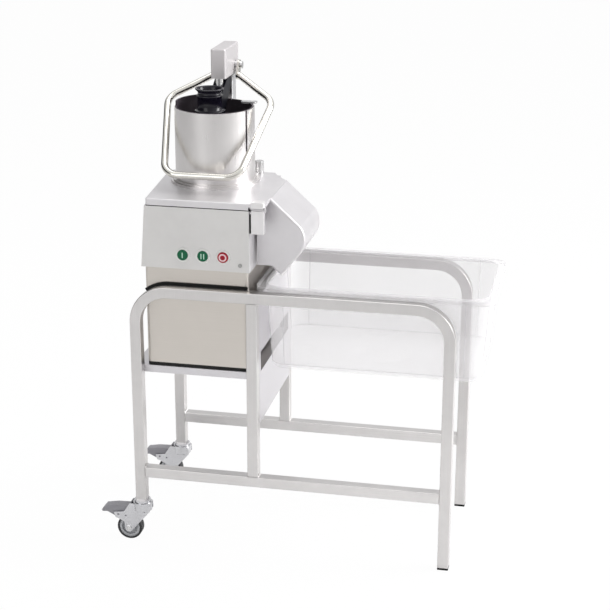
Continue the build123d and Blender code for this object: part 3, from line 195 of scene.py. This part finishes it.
def cast_metal(name, colour, roughness, grain=420.0, bump=0.12, metallic=0.75):
    """Satin cast or blasted metal: a fine even grain and soft blotches."""
    made, nodes, links, shader = new_material(name)
    fine = stretched_noise(nodes, links, (grain,) * 3, detail=6.0)
    blotch = stretched_noise(nodes, links, (CAST_BLOTCH_SCALE,) * 3)
    tint = shade_colour(nodes, links, blotch, colour, *CAST_TINT)
    links.new(tint, shader.inputs["Base Color"])
    rough = spread(nodes, links, fine, roughness * 0.85, roughness * 1.15)
    links.new(rough, shader.inputs["Roughness"])
    shader.inputs["Metallic"].default_value = metallic
    add_bump(nodes, links, shader, fine, bump, METAL_BUMP_DISTANCE)
    return made


def plastic(name, colour, roughness, grain=700.0, bump=0.05, variation=0.04, shine=0.5):
    """Moulded plastic or rubber with a faint grain."""
    made, nodes, links, shader = new_material(name)
    fine = stretched_noise(nodes, links, (grain,) * 3, detail=3.0)
    soft = stretched_noise(nodes, links, (PLASTIC_BLOTCH_SCALE,) * 3)
    tint = shade_colour(nodes, links, soft, colour, 1 - variation, 1 + variation)
    links.new(tint, shader.inputs["Base Color"])
    rough = spread(nodes, links, soft, roughness * 0.85, roughness * 1.15)
    links.new(rough, shader.inputs["Roughness"])
    shader.inputs["Specular IOR Level"].default_value = shine
    add_bump(nodes, links, shader, fine, bump, PLASTIC_BUMP_DISTANCE)
    return made


def milky_plastic(name, colour, alpha):
    """Pale see-through plastic with faint flow lines."""
    made, nodes, links, shader = new_material(name)
    flow = stretched_noise(nodes, links, FLOW_SCALE)
    tint = shade_colour(nodes, links, flow, colour, *FLOW_TINT)
    links.new(tint, shader.inputs["Base Color"])
    links.new(spread(nodes, links, flow, *FLOW_ROUGHNESS), shader.inputs["Roughness"])
    shader.inputs["Alpha"].default_value = alpha
    return made


# Recipe, colour, roughness (alpha for the milky plastics) and the recipe's other settings
LOOKS = {
    "tube_upright": (brushed_metal, (0.615, 0.60, 0.595), 0.33, {"along": "z"}),
    "tube_level": (brushed_metal, (0.65, 0.635, 0.63), 0.33, {"along": "x"}),
    "sheet_steel": (brushed_metal, (0.65, 0.635, 0.655), 0.42, {"along": "z", "streak": 0.03}),
    "base_steel": (brushed_metal, (0.59, 0.555, 0.515), 0.34, {"along": "x", "streak": 0.04}),
    "cast_alloy": (cast_metal, (0.69, 0.675, 0.69), 0.42, {}),
    "panel_grey": (cast_metal, (0.71, 0.70, 0.69), 0.45, {"bump": 0.05, "metallic": 0.2}),
    "hopper_steel": (
        brushed_metal,
        (0.735, 0.715, 0.71),
        0.30,
        {"along": "z", "streak": 0.03, "bump": 0.02},
    ),
    "polished_steel": (
        brushed_metal,
        (0.68, 0.665, 0.62),
        0.11,
        {"along": "x", "streak": 0.02, "bump": 0.01},
    ),
    "column_steel": (brushed_metal, (0.76, 0.76, 0.77), 0.3, {"along": "z", "streak": 0.05}),
    "block_steel": (cast_metal, (0.60, 0.575, 0.585), 0.38, {"metallic": 0.4}),
    "machined_steel": (brushed_metal, (0.70, 0.70, 0.70), 0.24, {"along": "x", "streak": 0.04}),
    "zinc": (
        cast_metal,
        (0.65, 0.65, 0.67),
        0.2,
        {"grain": 160.0, "bump": 0.25, "metallic": 0.95},
    ),
    "pusher_black": (plastic, (0.006, 0.005, 0.011), 0.2, {"shine": 0.35}),
    "black_plastic": (plastic, (0.010, 0.010, 0.010), 0.5, {"shine": 0.3}),
    "rubber_black": (plastic, (0.010, 0.010, 0.010), 0.6, {"bump": 0.15, "shine": 0.2}),
    "tyre_black": (plastic, (0.022, 0.022, 0.024), 0.55, {"bump": 0.2}),
    "hub_grey": (plastic, (0.50, 0.51, 0.53), 0.42, {}),
    "pedal_grey": (plastic, (0.29, 0.285, 0.31), 0.45, {"bump": 0.15}),
    "motor_grey": (plastic, (0.12, 0.13, 0.14), 0.45, {}),
    "button_green": (plastic, (0.0, 0.11, 0.045), 0.35, {"shine": 0.3}),
    "button_red": (plastic, (0.36, 0.0, 0.015), 0.35, {"shine": 0.3}),
    "mark_green": (plastic, (0.55, 0.80, 0.66), 0.4, {}),
    "mark_pink": (plastic, (0.86, 0.62, 0.64), 0.4, {}),
    "bezel_steel": (plastic, (0.80, 0.80, 0.78), 0.35, {}),
    "pan_white": (milky_plastic, (0.87, 0.855, 0.87), 0.24, {}),
    "latch_light": (cast_metal, (0.78, 0.765, 0.77), 0.42, {}),
    # A darker, less clear copy of the pan plastic, for the painted shade lines along the pan's
    # edges
    "pan_edge": (milky_plastic, (0.80, 0.79, 0.81), 0.32, {}),
    "rivet_grey": (cast_metal, (0.30, 0.30, 0.32), 0.35, {}),
    "drum_black": (plastic, (0.085, 0.072, 0.085), 0.5, {"shine": 0.2}),
    "arm_black": (plastic, (0.006, 0.006, 0.010), 0.4, {"shine": 0.1}),
    "screw_grey": (cast_metal, (0.36, 0.36, 0.35), 0.4, {}),
}
materials = {
    name: recipe(name, colour, value, **settings)
    for name, (recipe, colour, value, settings) in LOOKS.items()
}
materials["blade_steel"] = materials["machined_steel"]

# Each node takes the material of its slot in the record, apart from these. The tubes are brushed
# lengthways, and the others look unlike the rest of their slot
OTHER_LOOKS = {
    "front_post": "tube_upright",
    "rear_post": "tube_upright",
    "front_hoop": "tube_upright",
    "rear_hoop": "tube_upright",
    "front_lower_rail": "tube_level",
    "rear_lower_rail": "tube_level",
    "panel_screw": "screw_grey",
    "pusher_drum": "drum_black",
    "pusher_arm": "arm_black",
}
record_slots = {row["node"]: row["material_slot"] for row in frame["record"]["subparts"]}
for node in frame["nodes"]:
    for holder in frame["nodes"][node].material_slots:
        holder.material = materials[OTHER_LOOKS.get(node, record_slots[node])]

# Building of pieces
BEVEL_SEGMENTS = 3
BEVEL_ANGLE = math.radians(40)
ARC_STEPS = 10
RING_STEPS = 48


def add_piece(name, shape, body, slot, look=None, bevel=0.0):
    """Makes an object from a bmesh, rides it on a body and gives it its material."""
    mesh = bpy.data.meshes.new(name)
    bmesh.ops.recalc_face_normals(shape, faces=shape.faces)
    shape.to_mesh(mesh)
    shape.free()
    piece = bpy.data.objects.new(name, mesh)
    bpy.context.collection.objects.link(piece)
    mesh.materials.append(materials[look or slot])
    if bevel:
        rounding = piece.modifiers.new("rounding", "BEVEL")
        rounding.width = bevel
        rounding.segments = BEVEL_SEGMENTS
        rounding.limit_method = "ANGLE"
        rounding.angle_limit = BEVEL_ANGLE
    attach(piece, body)
    return piece


def arc(centre, radius, start, sweep, steps):
    """Points of an arc in a plane, with both of its ends."""
    across, up = centre
    turns = (start + sweep * step / steps for step in range(steps + 1))
    return [(across + radius * math.cos(turn), up + radius * math.sin(turn)) for turn in turns]


def skin(shape, rows, closed=False):
    """Joins rows of vertices into a tube, which has capped ends unless it closes on itself."""
    if not closed:
        shape.faces.new(rows[0])
        shape.faces.new(rows[-1][::-1])
    for row, following in zip(rows, rows[1:] + rows[:1] if closed else rows[1:]):
        for i, vertex in enumerate(row):
            j = (i + 1) % len(row)
            shape.faces.new((vertex, following[i], following[j], row[j]))


def lofted(shape, *sections):
    """Joins outlines in X and Z, each at its own place along Y, into one solid."""
    skin(shape, [[shape.verts.new((x, y, z)) for x, z in outline] for y, outline in sections])


def prism(shape, outline, near, far):
    """Adds a solid between two copies of an outline that lies in X and Z."""
    lofted(shape, (near, outline), (far, outline))


def plate(shape, left, right, low, high, near, far):
    """Adds an upright plate between its edges."""
    prism(shape, [(left, low), (right, low), (right, high), (left, high)], near, far)


def upright_bar(shape, x, z, width, height, near, far):
    """Adds an upright bar with half-round ends."""
    radius = width / 2
    outline = []
    for side, start in ((1, 0), (-1, math.pi)):
        middle = z + side * (height / 2 - radius)
        outline += arc((x, middle), radius, start, math.pi, ARC_STEPS)
    prism(shape, outline, near, far)


def disc(shape, x, z, radius, near, far):
    """Adds a round plate about an axis along Y."""
    prism(shape, arc((x, z), radius, 0, 2 * math.pi, RING_STEPS)[:-1], near, far)


def ring(shape, x, z, inner, outer, near, far):
    """Adds a flat ring about an axis along Y."""
    rows = []
    for step in range(RING_STEPS):
        turn = 2 * math.pi * step / RING_STEPS
        rows.append(
            [
                shape.verts.new((x + radius * math.cos(turn), y, z + radius * math.sin(turn)))
                for radius, y in ((outer, near), (outer, far), (inner, far), (inner, near))
            ]
        )
    skin(shape, rows, closed=True)


def rounded_top(left, right, low, high, radius):
    """Outline of a plate in X and Z with its two upper corners rounded."""
    points = [(left, low), (right, low)]
    for middle, start in ((right - radius, 0), (left + radius, math.pi / 2)):
        points += arc((middle, high - radius), radius, start, math.pi / 2, ARC_STEPS)
    return points


# Marks on the buttons
MARK_PROUD = 0.0003
MARK_BAR_WIDTH = 0.0022
MARK_BAR_HEIGHT = 0.0125
MARK_BAR_SPACING = 0.0062
STOP_RING_INNER = 0.0056
STOP_RING_OUTER = 0.0088


def button_face(node):
    """Middle of a button's face, and the front and back of a mark on it."""
    low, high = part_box(node)
    return (low[0] + high[0]) / 2, (low[2] + high[2]) / 2, low[1] - MARK_PROUD, low[1] + MARK_PROUD


def make_marks():
    """One bar, two bars and a ring on the three buttons."""
    for node, body, shifts in (
        ("button_start_low", "low_button", (0,)),
        ("button_start_high", "high_button", (-0.5, 0.5)),
    ):
        x, z, near, far = button_face(node)
        shape = bmesh.new()
        for shift in shifts:
            bar_x = x + shift * MARK_BAR_SPACING
            upright_bar(shape, bar_x, z, MARK_BAR_WIDTH, MARK_BAR_HEIGHT, near, far)
        add_piece(f"mark_{body}", shape, body, "button_green", "mark_green")
    x, z, near, far = button_face("button_stop")
    shape = bmesh.new()
    ring(shape, x, z, STOP_RING_INNER, STOP_RING_OUTER, near, far)
    add_piece("mark_stop_button", shape, "stop_button", "button_red", "mark_pink")


make_marks()

# Cover over the latch: a fixed cap on the head and a plate that swings with the bar
LATCH_PLATE_PROUD = 0.0026
LATCH_SWING_GAP = 0.0011
LATCH_CAP_ABOVE_LID = 0.004
LATCH_CAP_DEPTH = 0.02
LATCH_CAP_BEVEL = 0.0006
LATCH_CORNER = 0.006
LATCH_PLATE_SHORTER = 0.0005
LATCH_PLATE_OVERLAP = 0.001
LATCH_PLATE_BEVEL = 0.0008


def make_latch_cover():
    """The light cover that the photograph shows over the latch."""
    bar_low, bar_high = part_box("latch_bar")
    pin_low, pin_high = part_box("latch_pin")
    pin_y = (pin_low[1] + pin_high[1]) / 2
    pin_z = (pin_low[2] + pin_high[2]) / 2
    lid_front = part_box("head_casting")[0][1]
    cover_front = lid_front - LATCH_PLATE_PROUD
    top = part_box("hopper")[0][2] + LATCH_CAP_ABOVE_LID
    left, right = bar_low[0], bar_high[0]
    # The cap's underside follows the arc in which the plate swings
    arc_radius = pin_y - cover_front + LATCH_SWING_GAP
    lip_z = pin_z + math.sqrt(arc_radius**2 - (pin_y - cover_front) ** 2)
    full_z = pin_z + math.sqrt(arc_radius**2 - (pin_y - lid_front) ** 2)
    lip = rounded_top(left, right, lip_z, top, LATCH_CORNER)
    full = rounded_top(left, right, full_z, top, LATCH_CORNER)
    shape = bmesh.new()
    lofted(shape, (cover_front, lip), (lid_front, full), (lid_front + LATCH_CAP_DEPTH, full))
    add_piece("latch_cap", shape, "head", "cast_alloy", "latch_light", LATCH_CAP_BEVEL)
    shape = bmesh.new()
    foot = bar_low[2] + LATCH_PLATE_SHORTER
    plate(shape, left, right, foot, pin_z, cover_front, bar_low[1] + LATCH_PLATE_OVERLAP)
    add_piece("latch_plate", shape, "latch", "cast_alloy", "latch_light", LATCH_PLATE_BEVEL)


make_latch_cover()

# Dark strip of painted shade in the gap beside the latch, and dark joint line under the lid
GAP_SHADE_WIDTH = 0.0042
GAP_SHADE_FROM_TOP = 0.010
GAP_SHADE_LENGTH = 0.042
GAP_SHADE_SET_BACK = 0.004
DARK_STRIP_DEPTH = 0.012
GAP_SHADE_BEVEL = 0.0005
SEAM_HEIGHT = 0.0012
SEAM_PROUD = 0.0003
SEAM_INSET_LEFT = 0.0145


def make_gap_shade_and_seam():
    """A black strip of painted shade in the gap between panel and latch, and the joint line."""
    panel_low, panel_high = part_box("control_panel")
    left, top = panel_high[0], panel_high[2] - GAP_SHADE_FROM_TOP
    outline = rounded_top(left, left + GAP_SHADE_WIDTH, top - GAP_SHADE_LENGTH, top, GAP_SHADE_WIDTH / 3)
    # The black strip beside the latch is painted shade: it stands for the shadowed gap between
    # panel and latch
    shape = bmesh.new()
    prism(shape, outline, panel_low[1] + GAP_SHADE_SET_BACK, panel_low[1] + DARK_STRIP_DEPTH)
    add_piece("latch_gap_shade", shape, "trolley", "rubber_black", bevel=GAP_SHADE_BEVEL)
    lid_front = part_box("head_casting")[0][1]
    shape = bmesh.new()
    plate(
        shape,
        panel_low[0] + SEAM_INSET_LEFT,
        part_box("latch_bar")[0][0],
        panel_high[2] - SEAM_HEIGHT / 2,
        panel_high[2] + SEAM_HEIGHT,
        lid_front - SEAM_PROUD,
        lid_front + DARK_STRIP_DEPTH,
    )
    add_piece("lid_seam", shape, "trolley", "rubber_black")


make_gap_shade_and_seam()

# Feed tube, turned with its rolled lip, neck, bead and foot flange. Drops are below its top
TURN_STEPS = 72
BEAD_STEPS = 6
TUBE_RADIUS = 0.0275
TUBE_BORE = 0.0245
LIP_RADIUS = 0.0325
LIP_HEIGHT = 0.0032
LIP_DROP = 0.0075
NECK_RADIUS = 0.0262
NECK_FLARE = 0.001
NECK_FLARE_HEIGHT = 0.002
BEAD_DROP = 0.0165
BEAD_SWELL = 0.0026
BEAD_HALF = 0.0022
FOOT_DROP = 0.049
FOOT_RADIUS = 0.0348
FOOT_HEIGHT = 0.004
FOOT_FILLET = 0.0008
FOOT_FILLET_HEIGHT = 0.001
MOUTH_DEPTH = 0.010
MOUTH_STEP_RADIUS = 0.027
MOUTH_STEP_DROP = 0.0025
MOUTH_RADIUS = 0.0285


def bulge(radius, z, reach, half):
    """Profile points of a half-round bead, from its top to its foot."""
    turns = (math.pi * (0.5 - step / BEAD_STEPS) for step in range(BEAD_STEPS + 1))
    return [(radius + reach * math.cos(turn), z + half * math.sin(turn)) for turn in turns]


def full_round(radius, top, height):
    """Profile points of an edge at a radius that is rounded over its whole height."""
    half = height / 2
    return bulge(radius - half, top - half, half, half)


def turned(shape, x, y, profile):
    """Revolves a closed profile of radius and height about an upright axis."""
    rows = []
    for step in range(TURN_STEPS):
        turn = 2 * math.pi * step / TURN_STEPS
        across, along = math.cos(turn), math.sin(turn)
        rows.append([shape.verts.new((x + r * across, y + r * along, z)) for r, z in profile])
    skin(shape, rows, closed=True)
    for face in shape.faces:
        face.smooth = True


def make_feed_tube():
    """The small tube in the pusher, in place of its plain solid."""
    low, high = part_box("feed_tube")
    top, bottom = high[2], low[2]
    foot = top - FOOT_DROP
    profile = [
        *full_round(LIP_RADIUS, top, LIP_HEIGHT),
        (NECK_RADIUS + NECK_FLARE, top - LIP_DROP),
        (NECK_RADIUS, top - LIP_DROP - NECK_FLARE_HEIGHT),
        (NECK_RADIUS, top - BEAD_DROP + BEAD_HALF),
        *bulge(TUBE_RADIUS, top - BEAD_DROP, BEAD_SWELL, BEAD_HALF),
        (TUBE_RADIUS, foot + FOOT_FILLET_HEIGHT),
        (TUBE_RADIUS + FOOT_FILLET, foot),
        *full_round(FOOT_RADIUS, foot, FOOT_HEIGHT),
        (TUBE_RADIUS, foot - FOOT_HEIGHT),
        (TUBE_RADIUS, bottom),
        (TUBE_BORE, bottom),
        (TUBE_BORE, top - MOUTH_DEPTH),
        (MOUTH_STEP_RADIUS, top - MOUTH_STEP_DROP),
        (MOUTH_RADIUS, top),
    ]
    shape = bmesh.new()
    turned(shape, (low[0] + high[0]) / 2, (low[1] + high[1]) / 2, profile)
    piece = add_piece("feed_tube_turned", shape, "carriage", "pusher_black")
    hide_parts("feed_tube")


make_feed_tube()

# Beads along the pan's moulded edges, darker and less clear than the pan: painted shade lines for
# the light that the edges bend and catch
PAN_EDGE = 0.0009
PAN_CORNER_STEPS = 8
PAN_INSET_END = 0.014
PAN_INSET_SIDE = 0.0125
PAN_LIP = 0.0095
PAN_SLOPE = 0.0699  # sideways for each metre down
PAN_FLOOR_ROUND = 0.014
PAN_CORNER = 0.048
PAN_RIM_CORNER = 0.030
DIAMOND = ((1, 0), (0, 1), (-1, 0), (0, -1))


def rounded_loop(low, high, inset_x, inset_y, corner, z):
    """Points of a level rounded rectangle inside the pan's outline."""
    left, right = low[0] + inset_x + corner, high[0] - inset_x - corner
    near, far = low[1] + inset_y + corner, high[1] - inset_y - corner
    points = []
    for quarter, centre in enumerate(((right, far), (left, far), (left, near), (right, near))):
        points += arc(centre, corner, quarter * math.pi / 2, math.pi / 2, PAN_CORNER_STEPS)
    return [(x, y, z) for x, y in points]


def edge_loop(shape, points, reach):
    """Adds a thin closed bead of diamond section along a level loop."""
    rows = []
    for i, (x, y, z) in enumerate(points):
        before, after = points[i - 1], points[(i + 1) % len(points)]
        step_x, step_y = after[0] - before[0], after[1] - before[1]
        along = math.hypot(step_x, step_y)
        out_x, out_y = reach * step_y / along, -reach * step_x / along
        rows.append(
            [
                shape.verts.new((x + out * out_x, y + out * out_y, z + up * reach))
                for out, up in DIAMOND
            ]
        )
    skin(shape, rows, closed=True)


def edge_line(shape, start, end, reach):
    """Adds a thin straight bead of diamond section that runs mostly upright."""
    rows = []
    for x, y, z in (start, end):
        rows.append([shape.verts.new((x + dx * reach, y + dy * reach, z)) for dx, dy in DIAMOND])
    skin(shape, rows)


def make_pan_edge_shade():
    """Painted shade lines along the rim, lip, corner and floor edges of the pan."""
    low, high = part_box("food_pan")
    rim_z, lip_z = high[2] - PAN_EDGE, high[2] - PAN_LIP
    floor_z = low[2] + PAN_FLOOR_ROUND
    shrink = (high[2] - floor_z) * PAN_SLOPE
    mouth = rounded_loop(low, high, PAN_INSET_END, PAN_INSET_SIDE, PAN_CORNER, rim_z)
    foot = rounded_loop(
        low, high, PAN_INSET_END + shrink, PAN_INSET_SIDE + shrink, PAN_CORNER - shrink, floor_z
    )
    shape = bmesh.new()
    for z, reach in ((rim_z, PAN_EDGE), (lip_z, PAN_EDGE / 2)):
        edge_loop(shape, rounded_loop(low, high, PAN_EDGE, PAN_EDGE, PAN_RIM_CORNER, z), reach)
    edge_loop(shape, mouth, PAN_EDGE)
    edge_loop(shape, foot, PAN_EDGE)
    for first in range(0, len(mouth), PAN_CORNER_STEPS + 1):
        for place in (first, first + PAN_CORNER_STEPS):
            edge_line(shape, mouth[place], foot[place], PAN_EDGE)
    # The beads take the darker, less clear copy of the pan plastic: painted shade lines at the
    # edges
    add_piece("pan_edge_shade_lines", shape, "pan", record_slots["food_pan"], "pan_edge")


make_pan_edge_shade()

# Pressed rivet in each castor cheek, placed from the axle
RIVET_AHEAD = -0.007
RIVET_ABOVE = 0.032
RIVET_RADIUS = 0.0022
RIVET_PROUD = 0.0006
RIVET_DEPTH = 0.001
CHEEK_OUTSIDE = 0.016


def make_rivets():
    """A small dark rivet on both cheeks of each castor."""
    for side in ("front", "rear"):
        low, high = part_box(f"wheel_hub_{side}")
        x, y, z = ((low[i] + high[i]) / 2 for i in range(3))
        shape = bmesh.new()
        for face in (-1, 1):
            near = y + face * (CHEEK_OUTSIDE + RIVET_PROUD)
            far = y + face * (CHEEK_OUTSIDE - RIVET_DEPTH)
            disc(shape, x + RIVET_AHEAD, z + RIVET_ABOVE, RIVET_RADIUS, near, far)
        add_piece(f"fork_rivets_{side}", shape, f"castor_{side}", "zinc", "rivet_grey")


make_rivets()

# Weld seams where the tubes meet
WELD_RADIUS = 0.0013
WELD_STEPS = 8
WELD_WAVES = 9
WELD_WAVE_DEPTH = 0.25
STATIONS_PER_WAVE = 4
X_AXIS, Y_AXIS, Z_AXIS = Vector((1, 0, 0)), Vector((0, 1, 0)), Vector((0, 0, 1))


def weld_run(shape, start, end, across, upward):
    """Adds one straight bead with the ripples of a weld pool."""
    stations = WELD_WAVES * STATIONS_PER_WAVE
    rows = []
    for station in range(stations + 1):
        share = station / stations
        swell = 1 + WELD_WAVE_DEPTH * math.sin(2 * math.pi * WELD_WAVES * share)
        middle = Vector(start).lerp(Vector(end), share)
        round_points = arc((0, 0), WELD_RADIUS * swell, 0, 2 * math.pi, WELD_STEPS)[:-1]
        rows.append([shape.verts.new(middle + across * a + upward * b) for a, b in round_points])
    skin(shape, rows)


def make_welds():
    """Seams at the ends of both lower rails and both middle posts."""
    for side in ("front", "rear"):
        low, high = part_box(f"{side}_lower_rail")
        shape = bmesh.new()
        for x in (low[0], high[0]):
            for z in (low[2], high[2]):
                weld_run(shape, (x, low[1], z), (x, high[1], z), X_AXIS, Z_AXIS)
            for y in (low[1], high[1]):
                weld_run(shape, (x, y, low[2]), (x, y, high[2]), X_AXIS, Y_AXIS)
        add_piece(f"{side}_rail_welds", shape, "trolley", "tube_steel", "tube_level")
        low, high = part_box(f"{side}_post")
        shape = bmesh.new()
        for z in (low[2], high[2]):
            for x in (low[0], high[0]):
                weld_run(shape, (x, low[1], z), (x, high[1], z), Z_AXIS, X_AXIS)
            for y in (low[1], high[1]):
                weld_run(shape, (low[0], y, z), (high[0], y, z), Z_AXIS, Y_AXIS)
        add_piece(f"{side}_post_welds", shape, "trolley", "tube_steel", "tube_upright")


make_welds()


def look_at_target():
    """The camera's axes and place, from its angles and its distance."""
    back = Vector(
        (
            math.sin(CAMERA_AZIMUTH) * math.cos(CAMERA_ELEVATION),
            -math.cos(CAMERA_AZIMUTH) * math.cos(CAMERA_ELEVATION),
            math.sin(CAMERA_ELEVATION),
        )
    )
    level = Vector((0, 0, 1)).cross(back).normalized()
    upright = back.cross(level)
    right = math.cos(CAMERA_ROLL) * level + math.sin(CAMERA_ROLL) * upright
    up = back.cross(right)
    turn = Matrix((right, up, back)).transposed().to_4x4()
    turn.translation = CAMERA_TARGET + back * CAMERA_DISTANCE
    return turn


camera_data = bpy.data.cameras.new("camera")
camera_data.sensor_width = SENSOR_WIDTH
camera_data.lens = CAMERA_FOCAL_PIXELS / IMAGE_SIZE * SENSOR_WIDTH
camera_data.clip_end = CAMERA_CLIP_END
camera = bpy.data.objects.new("camera", camera_data)
bpy.context.collection.objects.link(camera)
camera.matrix_world = look_at_target()
bpy.context.scene.camera = camera


def fade(nodes, links, part, limits):
    """A soft step along one part of the direction."""
    step = nodes.new("ShaderNodeMapRange")
    step.interpolation_type = "SMOOTHSTEP"
    step.inputs["From Min"].default_value = limits[0]
    step.inputs["From Max"].default_value = limits[1]
    links.new(part, step.inputs["Value"])
    return step.outputs["Result"]


def blend(nodes, links, factor, under, over):
    """Mixes a colour over what lies under it, which is a colour or the output of a node."""
    mix = nodes.new("ShaderNodeMix")
    mix.data_type = "RGBA"
    mix.inputs["B"].default_value = over
    links.new(factor, mix.inputs["Factor"])
    if isinstance(under, tuple):
        mix.inputs["A"].default_value = under
    else:
        links.new(under, mix.inputs["A"])
    return mix.outputs["Result"]


def seen_plainly(nodes, links):
    """The light path node, and a factor of 1 for rays from the camera or through clear pieces."""
    path = nodes.new("ShaderNodeLightPath")
    seen = nodes.new("ShaderNodeMath")
    seen.operation = "MAXIMUM"
    links.new(path.outputs["Is Camera Ray"], seen.inputs[0])
    links.new(path.outputs["Is Transmission Ray"], seen.inputs[1])
    return path, seen.outputs[0]


def choose(nodes, links, factor, first, second):
    """Mixes two shaders."""
    mix = nodes.new("ShaderNodeMixShader")
    links.new(factor, mix.inputs["Fac"])
    links.new(first, mix.inputs[1])
    links.new(second, mix.inputs[2])
    return mix.outputs["Shader"]


def background(nodes, strength):
    """A background shader of a strength, white until its colour is linked."""
    made = nodes.new("ShaderNodeBackground")
    made.inputs["Color"].default_value = BACK_WHITE
    made.inputs["Strength"].default_value = strength
    return made


def make_world():
    """White to the camera, a softly lit room to diffuse rays and a graded one to glossy rays."""
    world = bpy.data.worlds.new("studio")
    bpy.context.scene.world = world
    world.use_nodes = True
    nodes, links = clear_nodes(world.node_tree)
    output = nodes.new("ShaderNodeOutputWorld")
    place = nodes.new("ShaderNodeTexCoord")
    parts = nodes.new("ShaderNodeSeparateXYZ")
    links.new(place.outputs["Generated"], parts.inputs["Vector"])
    back = fade(nodes, links, parts.outputs["Y"], FADE_BACK)
    overhead = fade(nodes, links, parts.outputs["Z"], FADE_OVERHEAD)
    left = fade(nodes, links, parts.outputs["X"], FADE_LEFT)
    right = fade(nodes, links, parts.outputs["X"], FADE_RIGHT)
    room = background(nodes, WORLD_STRENGTH)
    shade = blend(nodes, links, back, FRONT_SHADE, BACK_WHITE)
    links.new(blend(nodes, links, overhead, shade, BACK_WHITE), room.inputs["Color"])
    mirror_room = background(nodes, 1.0)
    shade = blend(nodes, links, back, MIRROR_FRONT, MIRROR_BACK)
    shade = blend(nodes, links, left, shade, MIRROR_LEFT)
    shade = blend(nodes, links, right, shade, BACK_WHITE)
    links.new(blend(nodes, links, overhead, shade, MIRROR_ABOVE), mirror_room.inputs["Color"])
    path, seen = seen_plainly(nodes, links)
    unseen = choose(
        nodes,
        links,
        path.outputs["Is Glossy Ray"],
        room.outputs["Background"],
        mirror_room.outputs["Background"],
    )
    white = background(nodes, 1.0)
    final = choose(nodes, links, seen, unseen, white.outputs["Background"])
    links.new(final, output.inputs["Surface"])


def make_floor():
    """A pale floor that shows white to the camera and keeps a soft shadow."""
    bpy.ops.mesh.primitive_plane_add(size=FLOOR_SIZE)
    floor = bpy.context.object
    floor.name = "studio_floor"
    made = bpy.data.materials.new("floor_white")
    made.use_nodes = True
    nodes, links = clear_nodes(made.node_tree)
    output = nodes.new("ShaderNodeOutputMaterial")
    matt = nodes.new("ShaderNodeBsdfDiffuse")
    matt.inputs["Color"].default_value = FLOOR_COLOUR
    glow = nodes.new("ShaderNodeEmission")
    glow.inputs["Color"].default_value = BACK_WHITE
    _, seen = seen_plainly(nodes, links)
    share = nodes.new("ShaderNodeMath")
    share.operation = "MULTIPLY"
    share.inputs[1].default_value = FLOOR_GLOW_SHARE
    links.new(seen, share.inputs[0])
    mixed = choose(nodes, links, share.outputs[0], matt.outputs["BSDF"], glow.outputs["Emission"])
    links.new(mixed, output.inputs["Surface"])
    floor.data.materials.append(made)


def area_light(name, place, target, size, power):
    """A soft square lamp aimed at a point."""
    data = bpy.data.lights.new(name, "AREA")
    data.size = size
    data.energy = power
    lamp = bpy.data.objects.new(name, data)
    bpy.context.collection.objects.link(lamp)
    lamp.location = place
    lamp.rotation_mode = "QUATERNION"
    lamp.rotation_quaternion = (Vector(place) - Vector(target)).to_track_quat("Z", "Y")


make_world()
make_floor()
for lamp_name, lamp_settings in LAMPS.items():
    area_light(lamp_name, *lamp_settings)

bpy.context.scene.view_settings.view_transform = "Standard"
